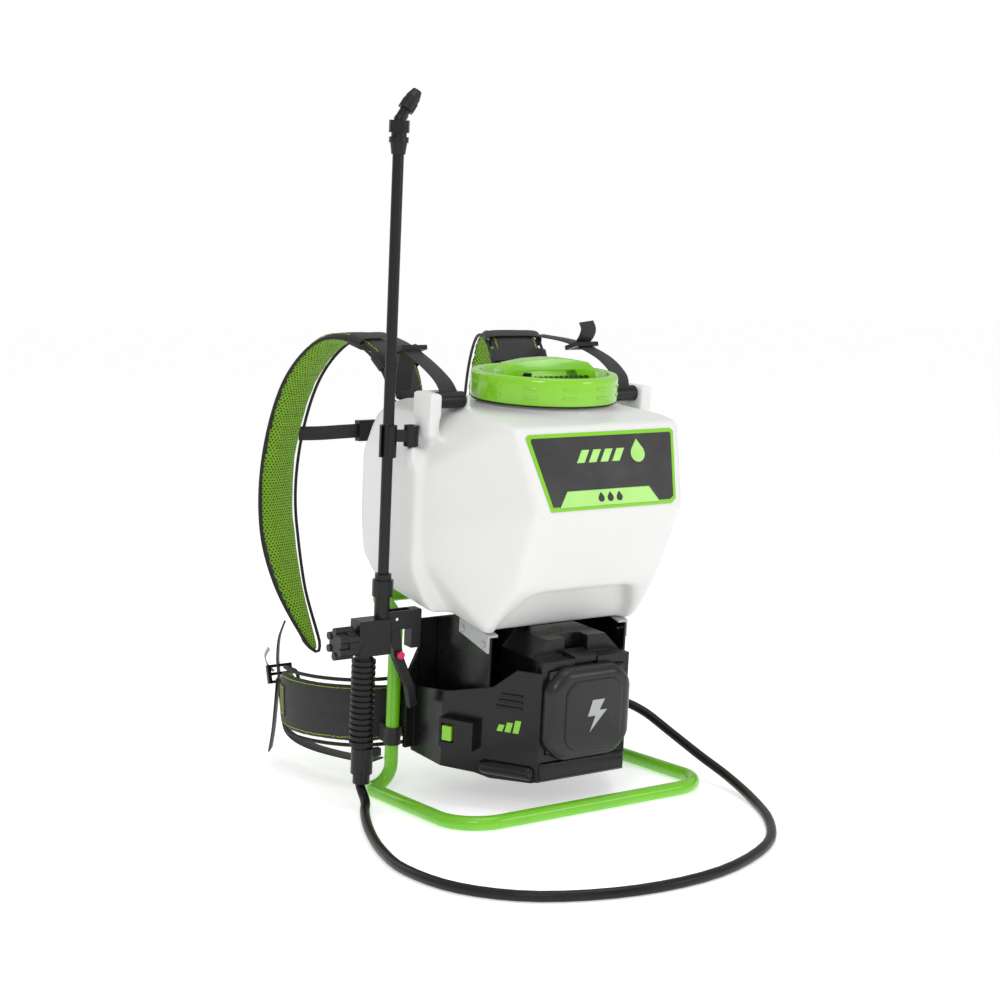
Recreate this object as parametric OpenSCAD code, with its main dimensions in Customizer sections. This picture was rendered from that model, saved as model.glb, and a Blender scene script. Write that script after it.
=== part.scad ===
// Backpack sprayer with battery pump, in millimetres.
// +Z up, the floor at z = 0, the label and battery face -Y, the wearer stands at +Y.
// The tank, housing and uprights share one body frame, which leans forward about the X axis.

/* [Stance] */
// Forward lean of the tank, housing and uprights
lean = 4.7; // [0:0.1:8]
// Distance that the finished model is moved along X to centre its box
centre_x = 21.16; // [-60:0.01:60]
// Distance that the finished model is moved along Y to centre its box
centre_y = -133.91; // [-200:0.01:60]

/* [Frame] */
// Diameter of the bent steel tube
tube_d = 18; // [14:0.5:25]
// Half width of the floor loop, to the tube centre
loop_x = 195; // [160:1:230]
// Front of the floor loop, to the tube centre
loop_front = 113; // [80:1:160]
// Rear ends of the floor loop
loop_back = 101; // [80:1:140]
// Corner radius of the floor loop
loop_r = 55; // [30:1:80]
// Half distance between the uprights
upright_x = 162; // [140:1:180]
// Upright position in the body frame
upright_y = 116; // [90:1:130]
// Height where the uprights turn rearward
upright_top = 240; // [220:1:250]
// Bend radius of the uprights
bend_r = 30; // [22:1:40]
// Rear end of the cross tube
cross_y = 182; // [170:1:200]

/* [Tank] */
// Half width of the tank at its shoulders
tank_x = 183; // [160:1:200]
// Height of the tank top
tank_top = 509; // [480:1:540]
// Height of the tank feet
tank_foot = 229; // [215:1:245]
// Wall thickness of the blow-moulded tank
tank_wall = 3.5; // [2.5:0.1:5]
// Height of the crease below the label
crease_z = 400; // [380:1:420]
// Reach of the crease in front of the frame origin
crease_y = 118; // [100:1:130]
// Rear of the tank
tank_back = 205; // [180:1:215]
// Centre of the filler neck along Y
neck_y = 39; // [20:1:60]
// Outer radius of the filler neck
neck_r = 80; // [60:1:84]
// Label half width along its top edge
label_x = 114; // [90:1:120]

/* [Cap] */
// Outer radius of the cap
cap_r = 95; // [80:1:110]
// Height of the cap skirt
cap_h = 35; // [25:1:45]
// Gap between the tank top and the cap
cap_gap = 11; // [6:0.5:16]
// Height that the handle bar rises above the rim
bar_rise = 17; // [8:1:24]

/* [Housing] */
// Bottom of the pump housing
shell_z = 48; // [40:1:60]
// Rim of the housing beside the battery tower
rim_z = 150; // [130:1:170]
// Top of the battery tower and of the rear wall
tower_z = 226; // [210:1:228]
// Half width of the battery tower
tower_x = 68; // [60:1:76]
// Front face of the battery pocket
pocket_y = 84; // [70:1:100]
// Wall thickness of the housing
shell_wall = 3; // [2:0.5:5]

/* [Battery] */
// Half width of the battery pack
pack_x = 58; // [48:1:62]
// Bottom of the battery pack
pack_z = 84; // [74:1:96]
// Height of the battery pack
pack_h = 108; // [90:1:120]
// Reach of the battery face in front of the frame origin
pack_y = 96; // [86:1:110]
// Depth of the battery pack
pack_depth = 82; // [60:1:90]

/* [Lance] */
// Lance axis along X, in the body frame
lance_x = -212; // [-230:1:-200]
// Lance axis along Y, in the body frame
lance_y = 70; // [50:1:90]
// Diameter of the lance tube
lance_d = 14; // [10:0.5:18]
// Lower end of the lance tube
lance_low = 290; // [270:1:310]
// Upper end of the lance tube
lance_high = 838; // [780:1:880]
// Offset of the grip from the lance axis
grip_dx = -24; // [-34:1:-16]

/* [Hose] */
// Outer diameter of the spray hose
hose_d = 12.5; // [10:0.5:15]

/* [Harness] */
// Width of the shoulder pads
pad_w = 76; // [55:1:80]
// Thickness of the shoulder pads
pad_t = 13; // [9:0.5:18]
// Outward turn of the shoulder pads
pad_splay = 21; // [10:1:30]
// Height of the hip belt
belt_h = 88; // [70:1:110]
// Thickness of the hip belt
belt_t = 12; // [8:0.5:18]

/* [Hidden] */
$fn = 64;
eps = 0.01;
tube_r = tube_d / 2;
cap_z = tank_top + cap_gap;
green = [0.42, 0.75, 0.10];
black = [0.09, 0.09, 0.10];
dark = [0.18, 0.18, 0.19];
white = [0.93, 0.93, 0.92];
grey = [0.55, 0.56, 0.57];
steel = [0.75, 0.76, 0.78];
red = [0.80, 0.12, 0.25];
brass = [0.78, 0.62, 0.28];
// Body-frame height at which an upright foot meets the floor loop
foot_z = (tube_r - upright_y * sin(lean)) / cos(lean);

// ---------- shared forms ----------

function unit(v) = v / norm(v);

// Left-hand normal of the edge from a to b, which points into a counter-clockwise outline
function inward(a, b) = let(d = unit(b - a)) [-d[1], d[0]];

// The outline p moved inward by e, with its corners kept sharp
function inset(p, e) = [
    for (i = [0 : len(p) - 1])
        let(
            b = p[i],
            n = inward(p[(i + len(p) - 1) % len(p)], b),
            m = inward(b, p[(i + 1) % len(p)])
        )
        b + e * (n + m) / (1 + n * m)
];

// A half outline followed by its mirror image in x
function mirrored(h) = concat(h, [for (i = [len(h) - 1 : -1 : 0]) [-h[i][0], h[i][1]]]);

// Point at t (0 to 1) of the smooth curve between b and c, with a and d on either side
function smooth(a, b, c, d, t) =
    0.5 * (2 * b + (c - a) * t + (2 * a - 5 * b + 4 * c - d) * t * t + (3 * b - a - 3 * c + d) * t * t * t);

// The smooth curve through every point of r, with n steps between neighbours
function curve(r, n) = concat(
    [
        for (i = [0 : len(r) - 2], k = [0 : n - 1])
            smooth(
                r[max(i - 1, 0)], r[i], r[i + 1], r[min(i + 2, len(r) - 1)], k / n
            )
    ],
    [r[len(r) - 1]]
);

// Unit tangents along the curve c
function tangents(c) = [
    for (i = [0 : len(c) - 1]) unit(c[min(i + 1, len(c) - 1)] - c[max(i - 1, 0)])
];

// A normal carried along the tangents t without twisting
function carry(t, n, i = 0) =
    i == len(t) ? [] : let(m = unit(n - (n * t[i]) * t[i])) concat([m], carry(t, m, i + 1));

// Outline of a band of thickness w along the flat curve c
function band(c, w) =
    let(t = tangents(c))
    concat(
        [for (i = [0 : len(c) - 1]) c[i] + w / 2 * [t[i][1], -t[i][0]]],
        [for (i = [len(c) - 1 : -1 : 0]) c[i] - w / 2 * [t[i][1], -t[i][0]]]
    );

// Everything that leans with the tank
module leaning() {
    rotate([lean, 0, 0]) children();
}

// The whole model, moved so that its box is centred on the origin
module placed() {
    translate([centre_x, centre_y, 0]) children();
}

module body_part() {
    placed() leaning() children();
}

module both_sides() {
    children();
    mirror([1, 0, 0]) children();
}

// A round bar from a to b
module bar(a, b, d) {
    v = b - a;
    translate(a)
        rotate([0, acos(v[2] / norm(v)), atan2(v[1], v[0])])
            cylinder(d = d, h = norm(v));
}

// A box from corner a to corner b
module block(a, b) {
    translate(a) cube(b - a);
}

// An upright ring
module ring(r_out, r_in, h) {
    difference() {
        cylinder(r = r_out, h = h);
        translate([0, 0, -1]) cylinder(r = r_in, h = h + 2);
    }
}

// A flat outline in (y, z) drawn out along x
module along_x(p, x0, x1) {
    translate([x0, 0, 0]) rotate([90, 0, 90]) linear_extrude(x1 - x0) polygon(p);
}

// A flat outline in (x, z) drawn out along y, from y0 to y1
module along_y(p, y0, y1) {
    translate([0, y1, 0]) rotate([90, 0, 0]) linear_extrude(y1 - y0) polygon(p);
}

// A flat outline in (x, y) drawn out along z
module along_z(p, z0, z1) {
    translate([0, 0, z0]) linear_extrude(z1 - z0) polygon(p);
}

// ---------- frame ----------

module base_loop() {
    color(green) placed() translate([0, 0, tube_r]) {
        both_sides() {
            bar([loop_x, loop_r - loop_front, 0], [loop_x, loop_back, 0], tube_d);
            translate([loop_x - loop_r, loop_r - loop_front, 0])
                rotate([0, 0, -90])
                    rotate_extrude(angle = 90) translate([loop_r, 0]) circle(d = tube_d);
            translate([loop_x, loop_back, 0]) sphere(d = tube_d);
        }
        bar([loop_r - loop_x, -loop_front, 0], [loop_x - loop_r, -loop_front, 0], tube_d);
    }
}

module upright() {
    r = bend_r;
    // foot elbow, from the floor loop up into the upright
    bar([loop_x - 2, upright_y, foot_z], [upright_x + r, upright_y, foot_z], tube_d);
    translate([upright_x + r, upright_y, foot_z + r])
        rotate([90, 0, 0]) rotate([0, 0, 180])
            rotate_extrude(angle = 90) translate([r, 0]) circle(d = tube_d);
    bar([upright_x, upright_y, foot_z + r], [upright_x, upright_y, upright_top - r], tube_d);
    // top bend, rearward under the tank
    translate([upright_x, upright_y + r, upright_top - r])
        rotate([0, -90, 0]) rotate([0, 0, 180]) mirror([1, 0, 0])
            rotate_extrude(angle = 90) translate([r, 0]) circle(d = tube_d);
    bar([upright_x, upright_y + r, upright_top], [upright_x, cross_y - r, upright_top], tube_d);
    // corner into the cross tube
    translate([upright_x - r, cross_y - r, upright_top])
        rotate_extrude(angle = 90) translate([r, 0]) circle(d = tube_d);
}

module back_frame() {
    color(green) body_part() difference() {
        union() {
            both_sides() upright();
            bar([bend_r - upright_x, cross_y, upright_top], [upright_x - bend_r, cross_y, upright_top], tube_d);
        }
        bolt_holes(5.7);
    }
}

module bolt_holes(d) {
    both_sides()
        for (z = bolt_heights)
            bar([upright_x - 20, upright_y, z], [upright_x + 5, upright_y, z], d);
}

// Socket-head bolts that hold the housing flanges to the uprights
bolt_heights = [92, 134];

module frame_bolts() {
    color(steel) body_part() both_sides()
        for (z = bolt_heights)
            translate([upright_x - 21, upright_y, z]) rotate([0, 90, 0]) {
                difference() {
                    cylinder(d = 10, h = 6);
                    translate([0, 0, -1]) cylinder(d = 5.8, h = 4, $fn = 6);
                }
                translate([0, 0, 5]) cylinder(d = 5.6, h = 20);
            }
}

// Angle plates between the tank feet and the housing
module tank_brackets() {
    color(grey) body_part() both_sides() {
        difference() {
            union() {
                along_x([[-23, 206], [44, 220], [44, 242.8], [-23, 228.9]], 108, 111);
                along_x([[-23, 225.9], [44, 239.8], [44, 242.8], [-23, 228.9]], 96, 111);
            }
            bracket_holes(4.4);
        }
    }
}

module bracket_holes(d) {
    for (y = [-14, 34]) bar([99, y, 216 + (y + 14) * 0.21], [118, y, 216 + (y + 14) * 0.21], d);
}

module bracket_screws() {
    color(steel) body_part() both_sides()
        for (y = [-14, 34])
            translate([0, y, 216 + (y + 14) * 0.21]) rotate([0, 90, 0]) {
                translate([0, 0, 111]) cylinder(d = 9, h = 2.6);
                translate([0, 0, 100]) cylinder(d = 4, h = 11.5);
            }
}

// ---------- tank ----------

// Side outline, in (y, z)
tank_side = [
    [-24, tank_foot], [125, 260], [168, 268], [tank_back, 440], [tank_back, 488], [186, tank_top],
    [-28, tank_top], [-84, tank_top - 8], [-crease_y, crease_z], [-78, 296]
];

// Plan of the rear body, with a hollow for the wearer's back
rear_plan = mirrored([
    [tank_x, 48], [tank_x, 182], [154, tank_back], [120, tank_back], [102, 168]
]);

// Plan of the front body
front_plan = mirrored([[113, -crease_y - 2], [172, 40], [172, 80]]);

// Front outlines, in (x, z)
rear_front = mirrored([
    [134, tank_foot - 6], [163, 262], [tank_x, 304], [tank_x, 440], [140, tank_top - 12], [100, tank_top + 2]
]);
front_front = mirrored([
    [112, tank_foot - 2], [172, 318], [172, 440], [132, tank_top - 5], [110, tank_top + 2]
]);

// The outer form of the tank, moved inward by e
module tank_form(e) {
    intersection() {
        along_x(inset(tank_side, e), -200, 200);
        union() {
            intersection() {
                along_z(inset(rear_plan, e), 200, 540);
                along_y(inset(rear_front, e), -150, 250);
            }
            difference() {
                intersection() {
                    along_z(inset(front_plan, e), 200, 540);
                    along_y(inset(front_front, e), -150, 250);
                }
                both_sides() front_corner(e);
            }
        }
    }
}

// Slanted cut that narrows the lower front of the tank
module front_corner(e) {
    translate([113, -crease_y, crease_z])
        rotate([0, 10.4, -24])
            translate([-e, -250, -320]) cube([120, 520, 640]);
}

// Recess in the lower front of the tank, over the battery tower
module tank_arch(e) {
    w = 80 - e;
    top = 290 - e;
    intersection() {
        along_y([
            [-w - 24, 200], [w + 24, 200], [w + 20, 252], [w, top - 6], [w - 10, top], [10 - w, top], [-w, top - 6],
            [-w - 20, 252]
        ], -150, 60);
        along_x([[-150, 200], [-14 - e, 200], [-12 - e, 229], [-54 - e, 292 - e], [-150, 296 - e]], -150, 150);
    }
}

module strap_lug() {
    // back wall, outer wall and inner ear around the roller
    block([110, 62, tank_top - 30], [174, 76, tank_top + 21]);
    block([156, 34, tank_top - 36], [174, 76, tank_top + 21]);
    block([110, 40, tank_top - 10], [116.5, 76, tank_top + 16]);
}

module tank() {
    color(white) body_part() difference() {
        union() {
            tank_form(0);
            translate([0, neck_y, tank_top - 4]) cylinder(r = cap_r - 6, h = cap_gap);
            // clip post on the left shoulder
            block([-188, 52, 440], [-176, 70, 462]);
        }
        difference() {
            tank_form(tank_wall);
            tank_arch(-tank_wall);
        }
        tank_arch(0);
        translate([0, neck_y, tank_top - 12]) cylinder(r = neck_r - 4, h = 60);
        translate([0, neck_y, tank_top]) cylinder(r = neck_r + 0.15, h = 60);
        // outlet hole in the tank floor
        translate([0, 60, 200]) cylinder(d = 22, h = 80);
        // socket for the clip pin
        translate([-184, 61, 450]) cylinder(d = 6, h = 30);
    }
}

// Ring round the filler hole, in a seat on the tank's top
module neck_ring() {
    color(white) body_part() translate([0, neck_y, tank_top]) ring(neck_r, neck_r - 4, cap_gap + 16);
}

// Lugs on the shoulders, which carry the strap rollers
module strap_lugs() {
    color(white) body_part() difference() {
        both_sides() strap_lug();
        tank_form(0);
        translate([0, neck_y, 400]) cylinder(r = cap_r + 3, h = 300);
        both_sides() translate([105, 50, tank_top + 11]) rotate([0, 90, 0]) cylinder(d = 7, h = 60);
    }
}

// Printed label plate, in the body frame on the face above the crease
label_outline = [
    [-label_x, 0], [-label_x + 23, -92], [label_x - 9, -92], [label_x, -86], [label_x, 0], [label_x - 4, 4],
    [4 - label_x, 4]
];
label_tilt = atan2(crease_y - 84, tank_top - 8 - crease_z);

module on_label_face(lift) {
    translate([0, -crease_y, crease_z])
        rotate([90 - label_tilt, 0, 0])
            translate([0, 95, lift]) children();
}

module tank_label() {
    color(green) body_part() on_label_face(0)
        linear_extrude(0.8) polygon(label_outline);
}

// Basket that hangs in the filler neck
module neck_strainer() {
    h = 52;
    color(dark) body_part() translate([0, neck_y, tank_top + cap_gap + 16 - h]) difference() {
        union() {
            cylinder(r = neck_r - 8, h = h);
            translate([0, 0, h]) cylinder(r = neck_r - 1, h = 2);
        }
        translate([0, 0, 2]) cylinder(r = neck_r - 10, h = h + 4);
        for (a = [0 : 30 : 330], z = [9, 24])
            rotate([0, 0, a]) translate([40, -8, z]) cube([50, 16, 9]);
        for (a = [0 : 60 : 300]) rotate([0, 0, a]) translate([38, 0, -2]) cylinder(r = 11, h = 6);
        translate([0, 0, -2]) cylinder(r = 14, h = 6);
    }
}

module lug_rollers() {
    color(black) body_part() both_sides() translate([0, 50, tank_top + 11]) rotate([0, 90, 0]) {
        translate([0, 0, 117.5]) cylinder(d = 21, h = 37.5);
        translate([0, 0, 108]) cylinder(d = 6.6, h = 54);
    }
}

module tank_outlet() {
    color(black) body_part() translate([0, 60, 222]) difference() {
        union() {
            cylinder(d = 21.6, h = 34);
            cylinder(d = 30, h = 10);
            translate([0, 0, -26]) cylinder(d = 12, h = 30);
        }
        translate([0, 0, -27]) cylinder(d = 7, h = 80);
    }
}

module wand_clip() {
    color(black) body_part() {
        difference() {
            union() {
                // hinge barrel on the clip post
                translate([-184, 61, 462]) cylinder(d = 19, h = 26);
                // arm to the sleeve
                difference() {
                    translate([-184, 61, 468])
                        rotate([0, 0, atan2(lance_y - 61, lance_x + 184)])
                            translate([0, -6, 0]) cube([26, 12, 14]);
                    translate([lance_x, lance_y, 400]) cylinder(d = lance_d, h = 200);
                }
                translate([lance_x, lance_y, 448]) ring(lance_d / 2 + 4, lance_d / 2 + 0.3, 40);
            }
            // mouth of the sleeve, where the lance snaps in
            translate([lance_x, lance_y, 440])
                rotate([0, 0, 215]) translate([0, -5, 0]) cube([20, 10, 60]);
            translate([-184, 61, 455]) cylinder(d = 6.2, h = 40);
        }
        translate([-184, 61, 452]) cylinder(d = 5.8, h = 37);
    }
}

// ---------- cap ----------

module cap_gasket() {
    color(black) body_part() translate([0, neck_y, cap_z + 18.4]) ring(neck_r - 0.5, neck_r - 5, 2.3);
}

module cap() {
    rim = cap_z + cap_h;
    color(green) body_part() translate([0, neck_y, 0]) {
        difference() {
            rotate_extrude() polygon([
                [0, rim - 12], [10, rim - 12], [76, rim - 12], [80, rim - 2], [83, rim], [cap_r - 3, rim],
                [cap_r, rim - 4], [cap_r, cap_z], [neck_r + 6, cap_z], [neck_r + 6, rim - 14], [0, rim - 14]
            ]);
            translate([0, 40, rim - 20]) cylinder(d = 9.1, h = 12);
        }
        difference() {
            along_y([
                [-74, rim - 13], [-66, rim + bar_rise - 5], [-4, rim + bar_rise], [64, rim + bar_rise - 5],
                [74, rim - 13]
            ], -13, 13);
            // finger slot under the bar
            along_y([[-46, rim - 11], [-40, rim + 1], [40, rim + 1], [46, rim - 11]], -20, 20);
        }
    }
}

// Small breather pressed into the cap plate
module cap_vent() {
    rim = cap_z + cap_h;
    color(dark) body_part() translate([0, neck_y + 40, rim - 20]) difference() {
        union() {
            cylinder(d = 9, h = 10.5);
            translate([0, 0, 8]) cylinder(d = 14, h = 4);
        }
        translate([0, 0, -1]) cylinder(d = 3, h = 20);
    }
}

// ---------- pump housing ----------

shell_plan = mirrored([
    [tower_x, -pocket_y], [112, -20], [140, 30], [140, 104]
]);

module housing() {
    w = shell_wall;
    color(black) body_part() difference() {
        union() {
            // tub
            intersection() {
                along_z(shell_plan, shell_z, rim_z + 40);
                along_x([
                    [-pocket_y - 1, shell_z], [110, shell_z], [110, rim_z - 14], [20, rim_z],
                    [-30, rim_z + 14], [-56, rim_z + 40], [-pocket_y - 1, rim_z + 40]
                ], -200, 200);
            }
            // battery tower
            along_z(mirrored([[tower_x, -pocket_y], [tower_x, 8]]), shell_z, tower_z - 22);
            along_y([
                [-tower_x, 120], [tower_x, 120], [tower_x, tower_z - 22], [tower_x - 22, tower_z],
                [22 - tower_x, tower_z], [-tower_x, tower_z - 22]
            ], -pocket_y + 24, 8);
            // rear wall with its bolt flanges
            along_y([
                [9 - upright_x, shell_z + 6], [upright_x - 9, shell_z + 6], [upright_x - 9, 150],
                [134, 190], [134, tower_z], [-134, tower_z], [-134, 190], [9 - upright_x, 150]
            ], 98, 104);
            both_sides() block([upright_x - 15, 100, 80], [upright_x - 9.1, upright_y + 8, 146]);
        }
        // inside of the tub, around the tower
        difference() {
            along_z(inset(shell_plan, w), shell_z + w, 300);
            along_z(mirrored([[tower_x, -pocket_y - 5], [tower_x, 8]]), 0, 400);
            both_sides() side_wall();
        }
        // room behind the battery for its terminals and board
        block([w - tower_x, 8 - 30, shell_z + w], [tower_x - w, 20, tower_z - 26]);
        // battery pocket
        block([-pack_x - 0.8, -pocket_y - 10, pack_z - 0.4], [pack_x + 0.8, 9 - 30, pack_z + pack_h + 0.8]);
        // latch slot
        block([-18, -pocket_y - 1, pack_z + pack_h], [18, -pocket_y + 44, tower_z + 1]);
        // holes
        bolt_holes(5.8);
        bar([100, 62, 84], [150, 62, 84], 15);
        bar([-25, 32 - pocket_y, pack_z + pack_h + 12], [25, 32 - pocket_y, pack_z + pack_h + 12], 3.1);
        both_sides() for (p = cover_screws) translate([p[0], p[1], shell_z - 1]) cylinder(d = 3.5, h = 6);
        switch_window();
    }
    color(black) body_part() both_sides() difference() {
        side_wall();
        bracket_holes(4.4);
        bar([100, 62, 84], [150, 62, 84], 15);
    }
}

cover_screws = [[74, 66], [80, 0]];

// Inner wall beside the pump, which carries the tank bracket
module side_wall() {
    along_x([[-24.5, 49], [99, 49], [99, 226], [62, 238], [44, 238.3], [-24.5, 224.3]], 104.9, 107.9);
}

// Seat of the switch box on the slanted left wall
module on_switch_wall() {
    translate([-126, 5, 98]) rotate([0, 0, atan2(50, -28) + 180]) children();
}

module switch_window() {
    on_switch_wall() block([-20, -8, -14], [20, 8, 14]);
}

module switch_box() {
    color(black) body_part() on_switch_wall() difference() {
        union() {
            block([-25, -15, -19], [23, 0, 19]);
            block([-19.7, -0.5, -13.7], [19.7, 8.5, 13.7]);
        }
        block([-22, -18, -12], [-4, -5, 12]);
        block([-21, -3, -11], [18, 7, 11]);
        block([-20.5, -10, -10.5], [-5.5, 0, 10.5]);
    }
}

module power_button() {
    color(green) body_part() on_switch_wall() union() {
        block([-19.5, -17, -9.5], [-6.5, -2, 9.5]);
    }
}

module lower_cover() {
    color(dark) body_part() difference() {
        along_z(mirrored([[60, -60], [96, -18], [104, 30], [96, 84]]), shell_z - 9, shell_z);
        along_z(inset(mirrored([[60, -60], [96, -18], [104, 30], [96, 84]]), 3), shell_z - 6, shell_z + 1);
        both_sides() for (p = cover_screws) translate([p[0], p[1], shell_z - 10]) cylinder(d = 3.5, h = 6);
    }
}

module housing_screws() {
    color(steel) body_part() both_sides() {
        for (p = cover_screws)
            translate([p[0], p[1], shell_z - 11]) {
                cylinder(d = 7, h = 2);
                cylinder(d = 3.4, h = 16);
            }
    }
}

module pump_motor() {
    color(steel) body_part() {
        bar([-62, 58, 100], [12, 58, 100], 44);
        bar([12, 58, 100], [30, 58, 100], 8);
    }
    color(dark) body_part() block([-60, 40, shell_z + 3], [10, 76, 84]);
}

module pump_head() {
    color(dark) body_part() difference() {
        union() {
            block([14, 32, 70], [66, 84, 132]);
            block([20, 40, shell_z + 3], [60, 76, 71]);
            translate([44, 60, 130]) cylinder(d = 18, h = 14);
            bar([64, 62, 84], [84, 62, 84], 16);
        }
        translate([44, 60, 100]) cylinder(d = 8, h = 60);
        bar([40, 62, 84], [90, 62, 84], 8);
        bar([10, 58, 100], [34, 58, 100], 8.4);
    }
}

// Short tube from the tank outlet to the pump inlet
suction_route = [
    [0, 60, 195.9], [0, 60, 190], [4, 60, 180], [20, 60, 167], [38, 60, 159], [44, 60, 152],
    [44, 60, 148], [44, 60, 144.1]
];

module suction_hose() {
    color(grey) placed() sweep(curve([for (p = suction_route) leaned(p)], 4), 15, 12);
}

module outlet_elbow() {
    color(black) body_part() difference() {
        union() {
            bar([84.1, 62, 84], [142, 62, 84], 14);
            bar([140.1, 62, 84], [150, 62, 84], 22);
        }
        bar([80, 62, 84], [152, 62, 84], 8);
    }
}

module outlet_nut() {
    color(black) body_part() difference() {
        translate([150, 62, 84]) rotate([0, 90, 0]) cylinder(d = 25, h = 17, $fn = 12);
        bar([149, 62, 84], [170, 62, 84], hose_d - 0.1);
    }
}

module circuit_board() {
    color([0.05, 0.35, 0.2]) body_part() block([-64.9, 2, 92], [64.9, 3.6, 176]);
    color(dark) body_part() {
        block([-30, -2, 148], [-14, 2.5, 168]);
        block([10, -4, 146], [26, 2.5, 166]);
        block([-40, 3, 140], [-24, 7.8, 156]);
    }
}

module battery_terminals() {
    color(brass) body_part() for (x = [-24, -8, 8, 24])
        block([x - 1, -29, 120], [x + 1, -3, 136]);
    color(dark) body_part() block([-32, -8, 114], [32, 1.9, 142]);
}

// ---------- battery ----------

module battery_pack() {
    z1 = pack_z + pack_h;
    color(dark) body_part() difference() {
        intersection() {
            block([-pack_x, -pack_y, pack_z], [pack_x, pack_depth - pack_y - 10, z1]);
            along_z(mirrored([
                [pack_x - 16, -pack_y], [pack_x, -pack_y + 12], [pack_x, pack_depth - pack_y]
            ]), pack_z - 1, z1 + 1);
            along_x([
                [-pack_y, pack_z + 14], [-pack_y + 12, pack_z], [pack_depth - pack_y, pack_z],
                [pack_depth - pack_y, z1], [-pack_y + 14, z1], [-pack_y, z1 - 12]
            ], -pack_x - 1, pack_x + 1);
        }
        block([5 - pack_x, -pack_y + 13, pack_z + 5], [pack_x - 5, pack_depth - pack_y - 16, z1 - 5]);
        for (x = [-24, -8, 8, 24])
            block([x - 3, -30, 117], [x + 3, 0, 139]);
        block([-15, -pack_y + 16, z1 - 4], [15, -pack_y + 26, z1 + 1]);
    }
}

module battery_cells() {
    color([0.2, 0.35, 0.6]) body_part()
        for (x = [-42, -21, 0, 21, 42], z = [pack_z + 18, pack_z + 40, pack_z + 62])
            bar([x, -pack_y + 14, z], [x, pack_depth - pack_y - 17, z], 18);
}

// Release latch; its tooth is drawn just clear of the notch in the pack
module battery_latch() {
    z1 = pack_z + pack_h;
    color(dark) body_part() difference() {
        union() {
            along_x([
                [-pocket_y + 2, z1 + 6], [-pocket_y + 34, z1 + 6], [-pocket_y + 34, z1 + 16],
                [-pocket_y + 2, z1 + 14]
            ], -17, 17);
            block([-14, -pack_y + 17, z1 + 0.5], [14, -pack_y + 24, z1 + 8]);
            bar([-17, -pocket_y + 32, z1 + 12], [17, -pocket_y + 32, z1 + 12], 9);
        }
        bar([-20, -pocket_y + 32, z1 + 12], [20, -pocket_y + 32, z1 + 12], 3.7);
    }
}

module latch_pin() {
    z1 = pack_z + pack_h;
    color(steel) body_part() bar([-24.9, -pocket_y + 32, z1 + 12], [24.9, -pocket_y + 32, z1 + 12], 3);
}

// Clear skirt that sheds drips below the battery pocket
module drip_skirt() {
    color(grey) body_part() along_x([
        [-pocket_y - 3, shell_z + 3], [-pocket_y, shell_z + 3], [-pocket_y, shell_z + 22],
        [-pocket_y - 3, shell_z + 22]
    ], -48, 40);
}

// ---------- spray gun and lance ----------

module at_lance() {
    body_part() translate([lance_x, lance_y, 0]) children();
}

module gun_body() {
    color(black) at_lance() difference() {
        union() {
            // socket of the lance
            translate([0, 0, 236]) cylinder(d = 20, h = 34);
            // head that joins the socket, the grip and the filter chamber
            block([-38, -12, 196], [8, 12, 242]);
            bar([-36, 0, 214], [-42, 0, 214], 30);
            // core of the grip
            translate([grip_dx, 0, 62]) cylinder(d = 22, h = 140);
            translate([grip_dx + 2, 0, 40]) cylinder(d = 28, h = 34);
            // lower hook of the trigger guard
            block([-14, -4, 60], [4, 4, 70]);
            // cheeks that carry the trigger pin, joined by a hanging plate
            for (y = [-9, 6]) block([4, y, 226], [54, y + 3, 250]);
            block([40, -9, 200], [54, 9, 250]);
        }
        translate([0, 0, 226]) cylinder(d = 8, h = 60);
        translate([trigger_px, 14, trigger_z]) rotate([90, 0, 0]) cylinder(d = 4, h = 28);
        for (z = [206, 230]) block([53, -5, z - 5], [60, 5, z + 5]);
        bar([-80, 0, 214], [-4, 0, 214], 18);
        translate([grip_dx, 0, 30]) cylinder(d = 12, h = 180);
        // slot for the trigger
        block([4.7, -5.4, 190], [39.9, 5.4, 251]);
    }
}

module gun_grip() {
    color(black) at_lance() difference() {
        translate([grip_dx, 0, 76]) {
            cylinder(d = 25, h = 116);
            for (i = [0 : 14])
                translate([0, 0, 3 + i * 7.6]) cylinder(d = 31, h = 4.4);
        }
        translate([grip_dx, 0, 60]) cylinder(d = 22.02, h = 140);
    }
}

module filter_knob() {
    color(dark) at_lance() translate([-42.3, 0, 214]) rotate([0, -90, 0]) difference() {
        union() {
            cylinder(d = 34, h = 12);
            for (a = [0 : 60 : 300])
                rotate([0, 0, a]) translate([16, 0, 0]) cylinder(d = 10, h = 26);
            cylinder(d = 30, h = 24);
            translate([0, 0, -16]) ring(8.6, 6.4, 17);
        }
        translate([0, 0, -20]) cylinder(d = 6, h = 30);
    }
}

module gun_filter() {
    color([0.85, 0.6, 0.2]) at_lance() translate([-40, 0, 214]) rotate([0, 90, 0]) ring(6.4, 5, 30);
}

module valve_stem() {
    color(brass) at_lance() {
        translate([0, 0, 231]) cylinder(d = 5, h = 26);
        translate([0, 0, 248]) cylinder(d = 7.6, h = 5);
    }
}

module valve_spring() {
    color(steel) at_lance() translate([0, 0, 253.5]) ring(3.6, 2.7, 16);
}

trigger_z = 240;
trigger_px = 17;

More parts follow.
